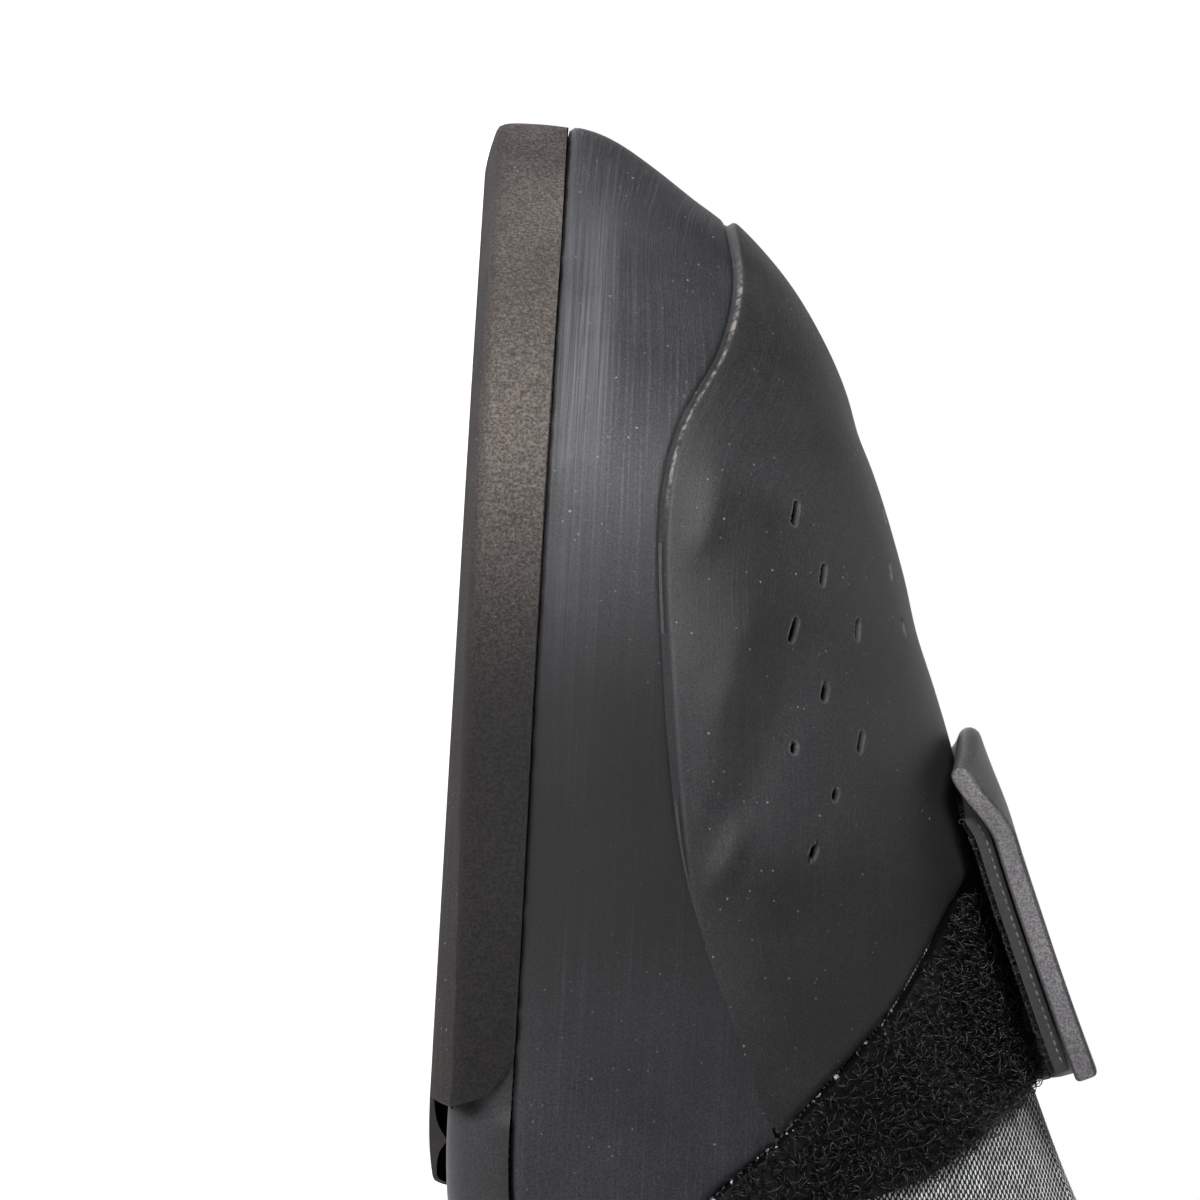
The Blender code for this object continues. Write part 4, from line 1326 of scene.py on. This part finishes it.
# Loops of the pile, made by a node tree
def loop_template(name, finish, turns, radius, wire_radius, seed):
    """One curl of pile: a bent tube standing on the base, in metres."""
    made = np.random.default_rng(seed)
    steps_along, sides = 12, 4
    t = np.linspace(0.0, 1.0, steps_along)
    angle = -0.5 * math.pi + 2.0 * math.pi * turns * t
    tilt = made.uniform(-0.5, 0.5)
    sideways = 0.7 * radius * (t - 0.5) * 2 + tilt * radius * np.sin(angle)
    path = np.stack([radius * np.cos(angle), sideways, radius * (1.0 + np.sin(angle))], -1)
    path += made.normal(scale=0.10 * radius, size=path.shape)
    ahead = unit(np.gradient(path, axis=0))
    side = unit(np.cross(ahead, np.array([0.2, 1.0, 0.3])))
    other = np.cross(ahead, side)
    ring = (2.0 * math.pi * np.arange(sides) / sides)[None, :, None]
    spokes = side[:, None] * np.cos(ring) + other[:, None] * np.sin(ring)
    points = ((path[:, None] + wire_radius * spokes).reshape(-1, 3) * MM).tolist()
    data = bpy.data.meshes.new(name)
    data.from_pydata(points, [], grid_faces(steps_along, sides, round_columns=True))
    data.materials.append(finish)
    data.shade_smooth()
    return add_object(name, data)


def scatter(name, ground, templates, finish, density, low, high, seed, lean=0.5):
    """Instances of the templates over a ground mesh, realised as one piece in its place."""
    tree = bpy.data.node_groups.new(name + "_nodes", "GeometryNodeTree")
    tree.interface.new_socket(name="Geometry", in_out="INPUT", socket_type="NodeSocketGeometry")
    per_area = tree.interface.new_socket(name="Density", in_out="INPUT", socket_type="NodeSocketFloat")
    tree.interface.new_socket(name="Geometry", in_out="OUTPUT", socket_type="NodeSocketGeometry")
    net = Net(tree)
    entry, end = net.node("NodeGroupInput"), net.node("NodeGroupOutput")
    points = net.node(
        "GeometryNodeDistributePointsOnFaces",
        {"Mesh": entry.outputs["Geometry"], "Density": entry.outputs["Density"], "Seed": seed},
    )
    gathered = net.node("GeometryNodeJoinGeometry")
    for template in templates:
        source = net.node("GeometryNodeObjectInfo", {"Object": template})
        wrapped = net.node("GeometryNodeGeometryToInstance", {0: source.outputs["Geometry"]})
        tree.links.new(wrapped.outputs[0], gathered.inputs[0])
    picks = {4: 0, 5: len(templates) - 1, "Seed": seed + 1}
    pick = net.node("FunctionNodeRandomValue", picks, data_type="INT")
    turns = {0: (-lean, -lean, 0.0), 1: (lean, lean, 6.283), "Seed": seed + 2}
    spin = net.node("FunctionNodeRandomValue", turns, data_type="FLOAT_VECTOR")
    as_turn = net.node("FunctionNodeEulerToRotation", {0: spin.outputs[0]})
    both = {0: points.outputs["Rotation"], 1: as_turn.outputs[0]}
    turned = net.node("FunctionNodeRotateRotation", both, rotation_space="LOCAL")
    sizes = {2: low, 3: high, "Seed": seed + 3}
    size = net.node("FunctionNodeRandomValue", sizes, data_type="FLOAT")
    placed = net.node(
        "GeometryNodeInstanceOnPoints",
        {
            "Points": points.outputs["Points"],
            "Instance": gathered.outputs[0],
            "Pick Instance": True,
            "Instance Index": pick.outputs[2],
            "Rotation": turned.outputs[0],
            "Scale": size.outputs[1],
        },
    )
    real = net.node("GeometryNodeRealizeInstances", {0: placed.outputs[0]})
    coloured = net.node("GeometryNodeSetMaterial", {0: real.outputs[0], "Material": finish})
    smoothed = net.node("GeometryNodeSetShadeSmooth", {0: coloured.outputs[0]})
    tree.links.new(smoothed.outputs[0], end.inputs["Geometry"])
    modifier = ground.modifiers.new(name, "NODES")
    modifier.node_group = tree
    modifier[per_area.identifier] = density
    graph = bpy.context.evaluated_depsgraph_get()
    data = bpy.data.meshes.new_from_object(ground.evaluated_get(graph), depsgraph=graph)
    data.name = name
    for helper in (*templates, ground):
        bpy.data.objects.remove(helper)
    made = add_object(name, data)
    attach(made, "root")
    return made


def ground_mesh(name, points, toward):
    """A helper surface from a grid in millimetres that faces toward, for scattering over."""
    facing = np.cross(points[1, 0] - points[0, 0], points[0, 1] - points[0, 0])
    if facing @ toward > 0.0:
        points = points[:, ::-1]
    rows, count = points.shape[:2]
    data = bpy.data.meshes.new(name)
    data.from_pydata(((points.reshape(-1, 3) + SHIFT) * MM).tolist(), [], grid_faces(rows, count))
    return add_object(name, data)


def pile_loops(finish):
    points, facing = pile_grid(60, 40, FIT_GAP + PILE_ROOM + 0.35 * PILE_THICKNESS)
    ground = ground_mesh("pile_ground", points, facing[0, 0])
    templates = [
        loop_template(f"curl_{index}", finish, turns, radius, 0.085, 40 + index)
        for index, (turns, radius) in enumerate(((0.95, 0.75), (1.2, 0.6), (0.8, 0.9), (1.4, 0.55)))
    ]
    return scatter("pile_loops", ground, templates, finish, PILE_DENSITY, 0.7, 1.1, 5)


def hooks(finish):
    """Small bent hooks under the strap's end."""
    reaches = np.linspace(HOOK_START, STRAP_REACH - HOOK_INSET, 12)
    share, reach = np.meshgrid(np.linspace(HOOK_FRONT, HOOK_REAR, 20), reaches, indexing="ij")
    under = free_run(share, reach, -FIT_GAP - HOOK_THICKNESS)
    ground = ground_mesh("hook_ground", under, np.array([0.0, 0.0, -1.0]))
    template = loop_template("hook_curl", finish, 0.7, 0.35, 0.07, 61)
    return scatter("hooks", ground, [template], finish, HOOK_DENSITY, 0.8, 1.1, 9, lean=0.3)


def bits(name, centres, facings, finish, low, high, seed, flat=0.5):
    """Small uneven lumps, such as lint or dried adhesive."""
    made = np.random.default_rng(seed)
    ball = bmesh.new()
    bmesh.ops.create_icosphere(ball, subdivisions=1, radius=1.0)
    base = np.array([vertex.co[:] for vertex in ball.verts])
    faces = np.array([[vertex.index for vertex in face.verts] for face in ball.faces])
    ball.free()
    vertices, every = [], []
    for centre, facing in zip(centres, facings):
        size = made.uniform(low, high)
        lump = base * size * made.uniform(0.6, 1.4, size=3)
        lump = lump + made.normal(scale=0.18 * size, size=lump.shape)
        lump -= np.outer(lump @ facing, facing) * flat
        every.append(faces + len(vertices) * len(base))
        vertices.append(lump + centre)
    return put(name, np.concatenate(vertices), np.concatenate(every).tolist(), [finish], [], sharp=80.0)


def stitches(name, path, facing, finish, length, width):
    """Short raised threads laid end to end along a path, in millimetres."""
    gaps = np.linalg.norm(np.diff(path, axis=0), axis=-1)
    along_path = np.concatenate([[0.0], np.cumsum(gaps)])
    centres = np.arange(0.6 * length, along_path[-1], 1.45 * length)
    vertices, every = [], []
    sides, rows = 6, 5
    for centre in centres:
        places = np.clip(centre + length * np.linspace(-0.5, 0.5, rows), 0.0, along_path[-1])
        line = np.stack([np.interp(places, along_path, path[:, axis]) for axis in range(3)], -1)
        ahead = unit(line[-1] - line[0])
        across = unit(np.cross(ahead, facing))
        bulge = np.sqrt(np.maximum(0.02, 1.0 - np.linspace(-1.0, 1.0, rows) ** 2))
        ring = 2.0 * math.pi * np.arange(sides) / sides
        round_line = across * np.cos(ring)[:, None] + facing * np.sin(ring)[:, None]
        tube = line[:, None] + 0.5 * width * bulge[:, None, None] * round_line[None]
        every += grid_faces(rows, sides, start=len(vertices) * rows * sides, round_columns=True)
        vertices.append(tube.reshape(-1, 3))
    return put(name, np.concatenate(vertices), every, [finish], [], sharp=80.0)


def pad_stitches(finish):
    shares = np.linspace(HOOK_FRONT + 0.02, HOOK_REAR - 0.02, 60)
    path = free_run(shares, STRAP_REACH - HOOK_INSET + 0.03, -FIT_GAP - 0.35 * HOOK_THICKNESS)
    return stitches("pad_stitches", path, np.array([-1.0, 0.0, 0.0]), finish, 0.75, 0.28)


def edge_lint(finish):
    made = np.random.default_rng(17)
    groups = ((0.42, 0.60, 26), (0.30, 0.42, 10), (0.46, 0.50, 12))
    around = -np.concatenate([made.uniform(*group) for group in groups])
    level = level_at(around, RUBBER_ROWS)
    level = level + made.uniform(-0.002, 0.012, len(around))
    centres, facing = form(around, level, 0.45 + made.uniform(0.0, 1.3, len(around)))
    return bits("edge_lint", centres, facing, finish, 0.10, 0.34, 18)


# Light, floor and camera
def studio():
    for name, place, aim, size, power, spread in LAMPS:
        lamp = bpy.data.lights.new(name, "AREA")
        lamp.shape, lamp.size, lamp.size_y = "RECTANGLE", *size
        lamp.energy, lamp.spread = power, math.radians(spread)
        made = add_object(name, lamp)
        made.location = place
        made.rotation_euler = (Vector(aim) - Vector(place)).to_track_quat("-Z", "Y").to_euler()
    world = bpy.data.worlds.new("pale_room")
    bpy.context.scene.world = world
    world.use_nodes = True
    net = Net(world.node_tree)
    ahead = net.split(net.node("ShaderNodeTexCoord").outputs["Generated"])["X"]
    dark, side = grey(WORLD_SHADE, 0.0, 0.0), grey(WORLD_SIDE, 0.0, 0.0)
    tone = net.blend(net.ramp(ahead, *SIDE_RAMP), dark, side)
    tone = net.blend(net.ramp(ahead, *CONE_RAMP), tone, (1.0, 1.0, 1.0, 1.0))
    net.feed(world.node_tree.nodes["Background"].inputs["Color"], tone)
    paper = Finish("floor_paper")
    paper.shader["Base Color"].default_value = grey(0.85)
    paper.shader["Emission Color"].default_value = grey(1.0)
    paper.shader["Emission Strength"].default_value = FLOOR_GLOW
    paper.shader["Roughness"].default_value = 0.9
    data = bpy.data.meshes.new("floor")
    corners = [(x * FLOOR_REACH, y * FLOOR_REACH, 0) for x, y in ((-1, -1), (1, -1), (1, 1), (-1, 1))]
    data.from_pydata(corners, [], [(0, 1, 2, 3)])
    data.materials.append(paper.made)
    floor = add_object("floor", data)


def camera():
    data = bpy.data.cameras.new("camera")
    data.lens = CAMERA_LENS
    data.sensor_width = 36.0
    data.clip_start, data.clip_end = 0.05, 30.0
    made = add_object("camera", data)
    roll = math.radians(CAMERA_ROLL)
    place, aim = Vector(CAMERA_PLACE), Vector(CAMERA_AIM)
    back = (place - aim).normalized()
    up = Vector((0.0, math.cos(roll), -math.sin(roll)))
    right = up.cross(back).normalized()
    up = back.cross(right)
    made.matrix_world = Matrix.Translation(place) @ Matrix((right, up, back)).transposed().to_4x4()
    bpy.context.scene.camera = made


def main():
    band, bottom = band_rubber(), sole_bottom()
    rand_rubber, patch_rubber = rand_finish(), patch_finish()
    heel_rubber = plain_rubber("heel_satin", 0.018, -0.02, 0.50, 0.15, dust=0.08)
    black_knit = cloth("binding_cloth", 0.012, 0.9, 1400.0, 0.7, 0.20)
    lining = cloth("lining_cloth", 0.030, 0.95, 1200.0, 0.6, 0.15)
    board = cloth("insole_cloth", 0.035, 0.95, 900.0, 0.5, 0.15)
    loops = cloth("loop_yarn", 0.0025, 0.42, 3000.0, 0.2, 0.05, sheen=0.0)
    tape = cloth("hook_cloth", 0.008, 0.6, 2200.0, 0.5, 0.08)
    leather = plain_rubber("strap_leather", 0.050, 0.0, 0.45, 0.05, dust=0.06, grain=0.15)
    cut_end = plain_rubber("strap_cut", 0.10, 0.0, 0.60, 0.3, dust=0.05, grain=0.4, scratches=0.7)
    thread = cloth("thread", 0.10, 0.6, 2500.0, 0.4, 0.05)
    lint = cloth("lint", 0.45, 0.9, 2500.0, 0.4, 0.05)
    outsole_piece([band, bottom])
    rand_piece([rand_rubber])
    toe_patch_piece([patch_rubber])
    heel_piece([heel_rubber, bottom])
    arch_piece([heel_rubber])
    upper_piece([knit_finish(), lining])
    binding_piece([black_knit])
    strap_piece([leather, cut_end])
    hook_piece([tape])
    pile_base([loops])
    pile_loops(loops)
    hooks(tape)
    edge_lint(lint)
    pad_stitches(thread)
    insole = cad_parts["insole"]
    insole.data.materials.clear()
    insole.data.materials.append(board)
    studio()
    camera()
    bpy.context.scene.view_settings.view_transform = "Standard"


main()
